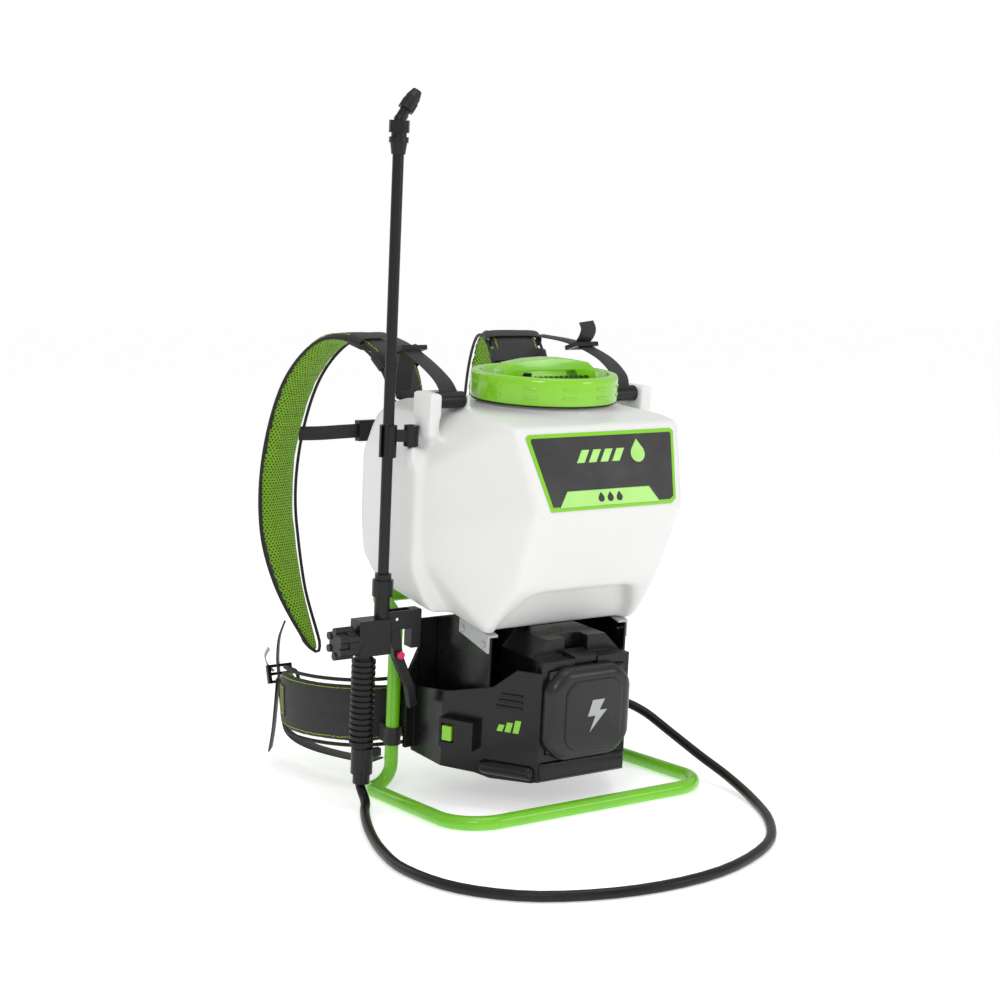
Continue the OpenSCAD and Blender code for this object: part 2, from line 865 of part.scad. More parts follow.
module trigger() {
    color(dark) at_lance() difference() {
        union() {
            along_y([
                [trigger_px - 6, trigger_z - 6], [trigger_px + 6, trigger_z - 4], [trigger_px + 14, 190],
                [trigger_px + 32, 150], [trigger_px + 38, 122], [trigger_px + 28, 118], [trigger_px + 22, 146],
                [trigger_px + 2, 186], [trigger_px - 3, 206]
            ], -5, 5);
            translate([trigger_px, 5, trigger_z]) rotate([90, 0, 0]) cylinder(d = 13, h = 10);
        }
        translate([trigger_px, 10, trigger_z]) rotate([90, 0, 0]) cylinder(d = 4.8, h = 20);
        translate([trigger_px + 8, 10, 192]) rotate([90, 0, 0]) cylinder(d = 7.8, h = 20);
    }
}

module trigger_pin() {
    color(steel) at_lance() translate([trigger_px, 10, trigger_z]) rotate([90, 0, 0]) cylinder(d = 4, h = 20);
}

// Push-through safety bar in the trigger
module trigger_lock() {
    color(red) at_lance() translate([trigger_px + 8, 0, 192]) rotate([90, 0, 0]) {
        translate([0, 0, -9]) cylinder(d = 7, h = 18);
        translate([0, 0, 8]) cylinder(d = 10, h = 3);
        translate([0, 0, -11]) cylinder(d = 10, h = 3);
    }
}

// Snap-in pads on the hanging plate
module guard_studs() {
    color(red) at_lance() for (z = [206, 230]) block([53.02, -4.98, z - 4.98], [56, 4.98, z + 4.98]);
}

module lance_nut() {
    color(black) at_lance() difference() {
        union() {
            translate([0, 0, 270.3]) cylinder(d = 27, h = 21, $fn = 12);
            translate([0, 0, 291]) cylinder(d = 21, h = 8);
        }
        translate([0, 0, 260]) cylinder(d = lance_d + 0.02, h = 60);
    }
}

module lance_tube() {
    color(black) at_lance() translate([0, 0, 270.4])
        ring(lance_d / 2, lance_d / 2 - 2, lance_high - 270.4);
}

module lance_collar() {
    z = lance_high - 18;
    color(black) at_lance() difference() {
        union() {
            translate([0, 0, z]) cylinder(d1 = lance_d + 3, d2 = 21, h = 14);
            translate([0, 0, z + 14]) cylinder(d = 24, h = 7);
            translate([0, 0, z + 21]) cylinder(d = 19, h = 5);
            translate([0, 0, z + 26]) cylinder(d = 25, h = 15, $fn = 12);
        }
        translate([0, 0, z - 1]) cylinder(d = lance_d + 0.02, h = 60);
    }
}

// Bent outlet tube with a stiffening fin
tip_z = lance_high + 24;
tip_turn = 34;

module nozzle_elbow() {
    color(black) at_lance() {
        difference() {
            union() {
                translate([0, 0, lance_high - 12]) cylinder(d = lance_d - 4.02, h = 20);
                translate([0, 0, lance_high]) cylinder(d = lance_d - 1, h = 24);
                translate([0, 0, tip_z]) sphere(d = lance_d);
                translate([0, 0, tip_z]) rotate([0, tip_turn, 0]) cylinder(d = lance_d - 1, h = 22);
                along_y([[4, tip_z - 0.6], [9, tip_z - 0.6], [12, tip_z + 4.5], [7, tip_z + 6]], -1.5, 1.5);
            }
            translate([0, 0, lance_high - 20]) cylinder(d = 6, h = 44);
            translate([0, 0, tip_z]) sphere(d = 7);
            translate([0, 0, tip_z]) rotate([0, tip_turn, 0]) cylinder(d = 6, h = 30);
        }
    }
}

module nozzle_cap() {
    color(dark) at_lance() translate([0, 0, tip_z]) rotate([0, tip_turn, 0]) translate([0, 0, 14.2]) difference() {
        union() {
            cylinder(d = 18, h = 18);
            for (a = [0 : 45 : 315]) rotate([0, 0, a]) translate([8.4, 0, 0]) cylinder(d = 4, h = 12);
            translate([0, 0, 18]) cylinder(d1 = 18, d2 = 12, h = 10);
        }
        translate([0, 0, -1]) cylinder(d = lance_d - 0.4, h = 9);
        cylinder(d = 2.4, h = 40);
        translate([0, 0, 25]) cylinder(d1 = 2.4, d2 = 8, h = 4);
    }
}

module grip_nut() {
    color(dark) at_lance() translate([grip_dx + 2, 0, 27]) difference() {
        union() {
            cylinder(d = 22, h = 13);
        }
        translate([0, 0, -1]) cylinder(d = hose_d - 0.1, h = 20);
    }
}

// ---------- hose ----------

function leaned(p) = [
    p[0], p[1] * cos(lean) - p[2] * sin(lean), p[1] * sin(lean) + p[2] * cos(lean)
];

// Closed round tube of diameter d along the points c, with k sides
module sweep(c, d, k) {
    t = tangents(c);
    n = carry(t, [0.31, 0.93, 0.2]);
    pts = [
        for (i = [0 : len(c) - 1], j = [0 : k - 1])
            let(a = 360 * j / k) c[i] + d / 2 * (cos(a) * n[i] + sin(a) * cross(t[i], n[i]))
    ];
    m = len(c);
    polyhedron(
        points = pts,
        faces = concat(
            [[for (j = [0 : k - 1]) j]],
            [[for (j = [k - 1 : -1 : 0]) (m - 1) * k + j]],
            [for (i = [0 : m - 2], j = [0 : k - 1])
                [i * k + (j + 1) % k, i * k + j, (i + 1) * k + j, (i + 1) * k + (j + 1) % k]]
        )
    );
}

gland_end = leaned([lance_x + grip_dx + 2, lance_y, 30]);
outlet_end = leaned([160, 62, 84]);

// Spray hose, from the grip to the pump outlet
hose_route = [
    gland_end, gland_end + [0, 2, -8], [-238, 50, 12], [-256, 20, 6.6], [-290, -50, 6.4], [-320, -130, 6.4],
    [-336, -210, 6.4], [-322, -300, 6.4], [-265, -374, 6.4], [-163, -416, 6.4], [-45, -415, 6.4], [68, -366, 6.4],
    [140, -292, 6.4], [190, -205, 7], [212, -130, 18], [214, -70, 34], [210, -10, 56], [200, 30, 76],
    outlet_end + [22, -3, 0], outlet_end + [10, 0, 0], outlet_end
];

module hose() {
    color(black) placed() sweep(curve(hose_route, 4), hose_d, 10);
}

// ---------- harness ----------

// Centre line of a shoulder pad, as distance behind the anchor and height
pad_line = [[0, 508], [20, 560], [68, 592], [130, 590], [190, 535], [228, 440], [238, 340], [216, 240], [168, 152]];
anchor_x = 92;
anchor_y = 176;

module at_pad() {
    placed() translate([anchor_x, anchor_y, 0]) rotate([0, 0, -pad_splay]) children();
}

module pad() {
    at_pad() along_x(band(curve(pad_line, 4), pad_t), -pad_w / 2, pad_w / 2);
}

module left_pad() {
    color(dark) mirror_placed() pad();
}

module right_pad() {
    color(dark) pad();
}

// Mirrors a placed right-hand piece to the left-hand side
module mirror_placed() {
    translate([centre_x, 0, 0]) mirror([1, 0, 0]) translate([-centre_x, 0, 0]) children();
}

module placed_pair() {
    children();
    mirror_placed() children();
}

// Plates that hold the upper pad ends to the tank
module strap_anchors() {
    color(black) body_part() both_sides() {
        block([60, tank_back + 0.01, 452], [124, tank_back + 5, 491]);
        for (x = [72, 112]) bar([x, tank_back + 4, 476], [x, tank_back + 8, 476], 9);
    }
}

// Load-lifter webbing, from the rollers to the pads
module lifter_webbing() {
    color(black) placed_pair() placed() {
        sweep_flat([[136, 8, 530], [140, 20, 548], [142, 60, 570], [136, 120, 588], [122, 180, 596]], 25, 2);
    }
}

// Flat webbing of width w along X and thickness t through the points r
module sweep_flat(r, w, t) {
    c = curve(r, 3);
    g = tangents(c);
    pts = [
        for (i = [0 : len(c) - 1])
            let(n = unit(cross(g[i], [1, 0, 0])))
            each [
                c[i] + [-w / 2, 0, 0] + t / 2 * n, c[i] + [w / 2, 0, 0] + t / 2 * n,
                c[i] + [w / 2, 0, 0] - t / 2 * n, c[i] + [-w / 2, 0, 0] - t / 2 * n
            ]
    ];
    m = len(c);
    polyhedron(
        points = pts,
        faces = concat(
            [[0, 1, 2, 3]],
            [[4 * m - 1, 4 * m - 2, 4 * m - 3, 4 * m - 4]],
            [for (i = [0 : m - 2], j = [0 : 3])
                [4 * i + (j + 1) % 4, 4 * i + j, 4 * i + 4 + j, 4 * i + 4 + (j + 1) % 4]]
        )
    );
}

// Adjusters on the upper and lower webbing
module ladder_locks() {
    color(black) placed_pair() placed() {
        translate([138, 100, 583]) rotate([-14, 0, 0]) lock();
        translate([207, 340, 126]) rotate([76, 0, 0]) lock();
    }
}

module lock() {
    difference() {
        block([-19, -13, -3], [19, 13, 3]);
        for (y = [-9, 2]) block([-14, y, -4], [14, y + 7, 4]);
    }
}

// Webbing from the pad's tip through the lock and under the hip belt to the foot of the frame
lower_web = [
    [188, 358, 196], [197, 358, 174], [206, 347, 148], [208, 340, 124], [208, 335, 88], [207, 329, 60],
    [205, 306, 44], [202, 250, 38], [188, 176, 38], [176, 126, 42]
];
web_tail = [[208, 343, 120], [210, 346, 84], [213, 349, 46], [216, 354, 16]];

module lower_webbing() {
    color(black) placed_pair() placed() {
        sweep_flat(lower_web, 25, 2);
        sweep_flat(web_tail, 25, 2);
    }
}

module sternum_strap() {
    color(black) placed() {
        block([-143, 393, 446], [-46, 396, 466]);
        block([46, 393, 446], [143, 396, 466]);
    }
}

module sternum_buckle() {
    color(black) placed() difference() {
        block([-48, 387, 441], [48, 401, 471]);
        block([-50, 393, 446], [-34, 396, 466]);
        block([34, 393, 446], [50, 396, 466]);
    }
}

// Plan line of the hip belt
belt_half = [[0, 136], [70, 136], [140, 138], [190, 154], [222, 200], [232, 256], [216, 306], [184, 326]];
belt_line = concat([for (i = [len(belt_half) - 1 : -1 : 1]) [-belt_half[i][0], belt_half[i][1]]], belt_half);

module hip_belt() {
    color(dark) placed() along_z(band(curve(belt_line, 4), belt_t), 58, 58 + belt_h);
}

module belt_loops() {
    color(black) body_part() both_sides() translate([upright_x, upright_y, 56]) {
        ring(tube_r + 2.5, tube_r + 0.01, 23.5);
        block([-6, tube_r + 1, 0], [6, 24.1, 23.5]);
    }
}

base_loop();
back_frame();
frame_bolts();
tank_brackets();
bracket_screws();
tank();
neck_ring();
strap_lugs();
tank_label();
neck_strainer();
lug_rollers();
strap_anchors();
wand_clip();
tank_outlet();
suction_hose();
cap_gasket();
cap();
cap_vent();
housing();
lower_cover();
housing_screws();
pump_motor();
pump_head();
outlet_elbow();
outlet_nut();
circuit_board();
battery_terminals();
switch_box();
power_button();
battery_pack();
battery_cells();
battery_latch();
latch_pin();
drip_skirt();
gun_body();
gun_grip();
filter_knob();
gun_filter();
valve_stem();
valve_spring();
trigger();
trigger_pin();
trigger_lock();
guard_studs();
lance_nut();
lance_tube();
lance_collar();
nozzle_elbow();
nozzle_cap();
grip_nut();
hose();
left_pad();
right_pad();
lifter_webbing();
ladder_locks();
lower_webbing();
sternum_strap();
sternum_buckle();
hip_belt();
belt_loops();
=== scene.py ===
"""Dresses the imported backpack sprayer: soft tank, cap, battery, harness, hose and every finish."""

import logging
import math
from dataclasses import dataclass
from enum import Enum
from typing import Callable, Iterable, Optional, Sequence

import bmesh
import bpy
import numpy as np
from mathutils import Matrix, Vector
from mathutils.bvhtree import BVHTree


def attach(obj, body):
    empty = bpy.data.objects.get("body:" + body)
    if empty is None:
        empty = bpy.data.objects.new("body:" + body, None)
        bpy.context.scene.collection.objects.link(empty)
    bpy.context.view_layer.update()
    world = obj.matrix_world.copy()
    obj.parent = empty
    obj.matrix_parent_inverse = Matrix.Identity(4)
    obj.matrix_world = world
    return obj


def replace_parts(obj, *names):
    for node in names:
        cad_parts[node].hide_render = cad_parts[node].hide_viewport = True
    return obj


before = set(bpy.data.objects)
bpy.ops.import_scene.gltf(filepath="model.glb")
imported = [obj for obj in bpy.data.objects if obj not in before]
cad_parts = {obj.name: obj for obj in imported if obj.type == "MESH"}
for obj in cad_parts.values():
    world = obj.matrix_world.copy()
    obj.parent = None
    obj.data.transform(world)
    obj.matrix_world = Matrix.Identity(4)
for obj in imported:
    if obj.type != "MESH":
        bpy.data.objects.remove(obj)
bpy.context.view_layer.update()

LOG = logging.getLogger("sprayer")
MM = 0.001
SMOOTH_ANGLE = math.radians(32)
Pair = tuple[float, float]
Triple = tuple[float, float, float]


class Body(str, Enum):
    """The CAD bodies that pieces ride on."""

    CARRIER = "carrier"
    CAP = "cap"
    BATTERY = "battery"
    LATCH = "latch"


class Slot(str, Enum):
    """Material slot names of the record."""

    TANK = "tank_white"
    GREEN = "green_plastic"
    BLACK = "black_plastic"
    DARK = "dark_plastic"
    RUBBER = "rubber_black"
    WEBBING = "webbing"
    CLOTH = "pad_cloth"


@dataclass(frozen=True)
class Stance:
    """How the sprayer stands: millimetres of the maker's drawing to metres of the row frame.

    The tank and its housing lean forward together, and the harness and the floor loop don't.
    """

    lean: float = math.radians(4.7)
    centre_x: float = 21.16
    centre_y: float = -133.91

    def matrix(self) -> Matrix:
        """Returns the matrix from leaning drawing millimetres to row metres."""
        shift = Matrix.Translation(Vector((self.centre_x, self.centre_y, 0)))
        return Matrix.Scale(MM, 4) @ shift @ Matrix.Rotation(self.lean, 4, "X")

    def body(self, x: float, y: float, z: float) -> Vector:
        """Returns the row point of a leaning drawing point."""
        return self.matrix() @ Vector((x, y, z))

    def floor(self, x: float, y: float, z: float) -> Vector:
        """Returns the row point of an upright drawing point."""
        return Vector((x + self.centre_x, y + self.centre_y, z)) * MM

    def leaned(self, x: float, y: float, z: float) -> Vector:
        """Returns the upright drawing point, in millimetres, of a leaning one."""
        return Matrix.Rotation(self.lean, 3, "X") @ Vector((x, y, z))


STANCE = Stance()


# ---------- node trees ----------


class Graph:
    """Short calls that add and join shader nodes in one tree."""

    def __init__(self, tree: bpy.types.NodeTree) -> None:
        """Keeps the tree that the calls add to."""
        self.tree = tree

    def node(self, kind: str, values: Optional[dict] = None, **settings: object) -> bpy.types.Node:
        """Adds a node.

        Args:
            kind: the node's type, without its ShaderNode prefix.
            values: input name to a number, colour or output socket.
            **settings: properties of the node itself.

        Returns:
            The new node.
        """
        made = self.tree.nodes.new("ShaderNode" + kind)
        for name, value in settings.items():
            setattr(made, name, value)
        for name, value in (values or {}).items():
            self.feed(made.inputs[name], value)
        return made

    def feed(self, socket: bpy.types.NodeSocket, value: object) -> None:
        """Sets an input's value, or joins an output socket to it."""
        if isinstance(value, bpy.types.NodeSocket):
            self.tree.links.new(value, socket)
        else:
            socket.default_value = value

    def maths(self, operation: str, *terms: object, clamp: bool = False) -> bpy.types.NodeSocket:
        """Adds a Math node on the terms and returns its output."""
        made = self.node("Math", operation=operation, use_clamp=clamp)
        for socket, term in zip(made.inputs, terms):
            self.feed(socket, term)
        return made.outputs[0]

    def blend(self, mask: object, first: object, second: object) -> bpy.types.NodeSocket:
        """Adds a colour mix by a mask and returns its output."""
        made = self.node("Mix", data_type="RGBA")
        for index, value in ((0, mask), (6, first), (7, second)):
            self.feed(made.inputs[index], value)
        return made.outputs[2]

    def ramp(
        self, value: object, low: float, high: float, first: float, last: float
    ) -> bpy.types.NodeSocket:
        """Adds a smooth change from first to last as value goes from low to high."""
        made = self.node(
            "MapRange",
            {"Value": value, "From Min": low, "From Max": high, "To Min": first, "To Max": last},
            interpolation_type="SMOOTHSTEP",
        )
        return made.outputs[0]


def group_tree(
    name: str, inputs: dict[str, float], outputs: Sequence[str]
) -> tuple[bpy.types.NodeTree, Graph, dict, bpy.types.Node]:
    """Starts a shader node group with a Vector input and number inputs and outputs.

    Args:
        name: the group's name.
        inputs: number input to its default.
        outputs: names of the number outputs.

    Returns:
        The tree, its graph, the input sockets by name and the output node.
    """
    tree = bpy.data.node_groups.new(name, "ShaderNodeTree")
    tree.interface.new_socket("Vector", in_out="INPUT", socket_type="NodeSocketVector")
    for label, value in inputs.items():
        made = tree.interface.new_socket(label, in_out="INPUT", socket_type="NodeSocketFloat")
        made.default_value = value
    for label in outputs:
        tree.interface.new_socket(label, in_out="OUTPUT", socket_type="NodeSocketFloat")
    graph = Graph(tree)
    entry = tree.nodes.new("NodeGroupInput")
    leave = tree.nodes.new("NodeGroupOutput")
    return tree, graph, {s.name: s for s in entry.outputs if s.name}, leave


class Effects:
    """Shared effects, each built once and placed in every material that shows it."""

    def __init__(self) -> None:
        """Starts with nothing built."""
        self.made: dict[str, bpy.types.NodeTree] = {}

    def get(self, name: str) -> bpy.types.NodeTree:
        """Returns the named effect, and builds it the first time."""
        if name not in self.made:
            builders = {
                "moulding": self.build_moulding,
                "weave": self.build_weave,
                "spacer_mesh": self.build_spacer_mesh,
            }
            self.made[name] = builders[name]()
        return self.made[name]

    def build_moulding(self) -> bpy.types.NodeTree:
        """Returns fine tool grain and slow blotches, as on moulded, painted or plated skins."""
        tree, g, given, leave = group_tree(
            "moulding", {"Grain Scale": 900.0, "Blotch Scale": 14.0}, ["Height", "Blotch", "Scuff"]
        )
        grain = g.node(
            "TexNoise", {"Vector": given["Vector"], "Scale": given["Grain Scale"], "Detail": 2.0}
        )
        blotch = g.node(
            "TexNoise",
            {
                "Vector": given["Vector"],
                "Scale": given["Blotch Scale"],
                "Detail": 4.0,
                "Roughness": 0.6,
            },
        )
        stretch = g.node(
            "Mapping",
            {"Vector": given["Vector"], "Rotation": (0.6, 0.4, 0.3), "Scale": (6.0, 60.0, 9.0)},
        )
        scuff = g.node(
            "TexNoise",
            {"Vector": stretch.outputs[0], "Scale": 5.0, "Detail": 5.0, "Roughness": 0.7},
        )
        g.feed(leave.inputs["Height"], grain.outputs[0])
        g.feed(leave.inputs["Blotch"], g.ramp(blotch.outputs[0], 0.35, 0.65, 0.0, 1.0))
        g.feed(leave.inputs["Scuff"], g.ramp(scuff.outputs[0], 0.60, 0.72, 0.0, 1.0))
        return tree

    def build_weave(self) -> bpy.types.NodeTree:
        """Returns a plain weave along the cloth: thread height and the gaps between threads."""
        tree, g, given, leave = group_tree(
            "weave", {"Pitch": 0.0016, "Rib": 1.0}, ["Height", "Gap", "Slub"]
        )
        parts = g.node("SeparateXYZ", {"Vector": given["Vector"]})
        along = g.maths(
            "DIVIDE", parts.outputs[0], g.maths("MULTIPLY", given["Pitch"], given["Rib"])
        )
        across = g.maths("DIVIDE", parts.outputs[1], given["Pitch"])
        warp = g.maths("SINE", g.maths("MULTIPLY", along, math.tau))
        weft = g.maths("SINE", g.maths("MULTIPLY", across, math.tau))
        height = g.maths("MULTIPLY_ADD", g.maths("MULTIPLY", warp, weft), 0.5, 0.5)
        slub = g.node(
            "TexNoise", {"Vector": given["Vector"], "Scale": 60.0, "Detail": 5.0, "Roughness": 0.65}
        )
        g.feed(leave.inputs["Height"], height)
        g.feed(leave.inputs["Gap"], g.ramp(height, 0.05, 0.45, 1.0, 0.0))
        g.feed(leave.inputs["Slub"], g.ramp(slub.outputs[0], 0.35, 0.65, 0.0, 1.0))
        return tree

    def build_spacer_mesh(self) -> bpy.types.NodeTree:
        """Returns the open air mesh of the linings: hexagonal holes in a knitted web."""
        tree, g, given, leave = group_tree("spacer_mesh", {"Pitch": 0.0045}, ["Height", "Hole"])
        parts = g.node("SeparateXYZ", {"Vector": given["Vector"]})
        u = g.maths("DIVIDE", parts.outputs[0], given["Pitch"])
        v = g.maths("DIVIDE", parts.outputs[1], given["Pitch"])
        waves = [
            g.maths("COSINE", g.maths("MULTIPLY", term, math.tau))
            for term in (
                g.maths("MULTIPLY", u, 1.155),
                g.maths("ADD", g.maths("MULTIPLY", u, 0.577), v),
                g.maths("SUBTRACT", v, g.maths("MULTIPLY", u, 0.577)),
            )
        ]
        total = g.maths("ADD", g.maths("ADD", waves[0], waves[1]), waves[2])
        g.feed(leave.inputs["Hole"], g.ramp(total, 0.2, 1.6, 0.0, 1.0))
        g.feed(leave.inputs["Height"], g.ramp(total, -1.0, 1.8, 1.0, 0.0))
        return tree


EFFECTS = Effects()


def blank_material(name: str) -> tuple[bpy.types.Material, Graph, bpy.types.Node]:
    """Returns a new material, its graph and its Principled shader."""
    material = bpy.data.materials.new(name)
    material.use_nodes = True
    shader = material.node_tree.nodes["Principled BSDF"]
    return material, Graph(material.node_tree), shader


def opaque(colour: Triple) -> tuple[float, float, float, float]:
    """Returns a colour with full alpha."""
    return (*colour, 1.0)


@dataclass(frozen=True)
class Finish:
    """A moulded, painted, rubbery or plated skin, with its own grain, blotches and fine scuffs."""

    name: str
    colour: Triple
    worn: Triple
    roughness: float
    grain: float = 0.00004
    grain_scale: float = 900.0
    blotch_scale: float = 14.0
    spread: float = 0.10
    metallic: float = 0.0
    coat: float = 0.0
    subsurface: float = 0.0
    rounding: float = 0.0
    specular: float = 0.5

    def build(self) -> bpy.types.Material:
        """Returns the material."""
        material, g, shader = blank_material(self.name)
        place = g.node("TexCoord").outputs["Object"]
        skin = g.node("Group", node_tree=EFFECTS.get("moulding"))
        g.feed(skin.inputs["Vector"], place)
        skin.inputs["Grain Scale"].default_value = self.grain_scale
        skin.inputs["Blotch Scale"].default_value = self.blotch_scale
        worn = g.maths(
            "MULTIPLY_ADD",
            skin.outputs["Scuff"],
            0.25,
            g.maths("MULTIPLY", skin.outputs["Blotch"], 0.35),
        )
        g.feed(shader.inputs["Base Color"], g.blend(worn, opaque(self.colour), opaque(self.worn)))
        rough = g.maths(
            "MULTIPLY_ADD", skin.outputs["Blotch"], self.spread, self.roughness - self.spread / 2
        )
        g.feed(
            shader.inputs["Roughness"],
            g.maths("MULTIPLY_ADD", skin.outputs["Scuff"], self.spread, rough, clamp=True),
        )
        bump = g.node(
            "Bump", {"Height": skin.outputs["Height"], "Distance": self.grain, "Strength": 1.0}
        )
        if self.rounding:
            soft = g.node("Bevel", {"Radius": self.rounding}, samples=4)
            g.feed(bump.inputs["Normal"], soft.outputs[0])
        g.feed(shader.inputs["Normal"], bump.outputs[0])
        shader.inputs["Metallic"].default_value = self.metallic
        shader.inputs["Specular IOR Level"].default_value = self.specular
        shader.inputs["Coat Weight"].default_value = self.coat
        shader.inputs["Coat Roughness"].default_value = 0.08
        shader.inputs["Subsurface Weight"].default_value = self.subsurface
        shader.inputs["Subsurface Radius"].default_value = (0.012, 0.012, 0.011)
        shader.inputs["Subsurface Scale"].default_value = 1.0
        return material


@dataclass(frozen=True)
class Cloth:
    """Woven cloth or webbing, whose threads follow the piece's lay attribute."""

    name: str
    thread: Triple
    gap: Triple
    slub: Triple
    pitch: float = 0.0016
    rib: float = 1.0
    depth: float = 0.00025
    roughness: float = 0.78
    sheen: float = 0.25

    def build(self) -> bpy.types.Material:
        """Returns the material."""
        material, g, shader = blank_material(self.name)
        lay = g.node("Attribute", attribute_name="lay").outputs["Vector"]
        weave = g.node("Group", node_tree=EFFECTS.get("weave"))
        g.feed(weave.inputs["Vector"], lay)
        weave.inputs["Pitch"].default_value = self.pitch
        weave.inputs["Rib"].default_value = self.rib
        mottled = g.blend(
            g.maths("MULTIPLY", weave.outputs["Slub"], 0.6), opaque(self.thread), opaque(self.slub)
        )
        g.feed(
            shader.inputs["Base Color"], g.blend(weave.outputs["Gap"], mottled, opaque(self.gap))
        )
        g.feed(
            shader.inputs["Roughness"],
            g.maths("MULTIPLY_ADD", weave.outputs["Gap"], 0.12, self.roughness - 0.06),
        )
        bump = g.node(
            "Bump", {"Height": weave.outputs["Height"], "Distance": self.depth, "Strength": 0.8}
        )
        g.feed(shader.inputs["Normal"], bump.outputs[0])
        shader.inputs["Sheen Weight"].default_value = self.sheen
        shader.inputs["Sheen Roughness"].default_value = 0.5
        return material


@dataclass(frozen=True)
class AirMesh:
    """The open knitted lining against the wearer."""

    name: str
    web: Triple
    hole: Triple
    pitch: float = 0.0046

    def build(self) -> bpy.types.Material:
        """Returns the material."""
        material, g, shader = blank_material(self.name)
        lay = g.node("Attribute", attribute_name="lay").outputs["Vector"]
        knit = g.node("Group", node_tree=EFFECTS.get("spacer_mesh"))
        g.feed(knit.inputs["Vector"], lay)
        knit.inputs["Pitch"].default_value = self.pitch
        weave = g.node("Group", node_tree=EFFECTS.get("weave"))
        g.feed(weave.inputs["Vector"], lay)
        tone = g.blend(
            g.maths("MULTIPLY", weave.outputs["Slub"], 0.25),
            opaque(self.web),
            opaque(tuple(0.7 * c for c in self.web)),
        )
        g.feed(shader.inputs["Base Color"], g.blend(knit.outputs["Hole"], tone, opaque(self.hole)))
        g.feed(shader.inputs["Roughness"], g.maths("MULTIPLY_ADD", knit.outputs["Hole"], 0.15, 0.7))
        bump = g.node(
            "Bump", {"Height": knit.outputs["Height"], "Distance": 0.0008, "Strength": 0.9}
        )
        g.feed(shader.inputs["Normal"], bump.outputs[0])
        shader.inputs["Sheen Weight"].default_value = 0.06
        return material


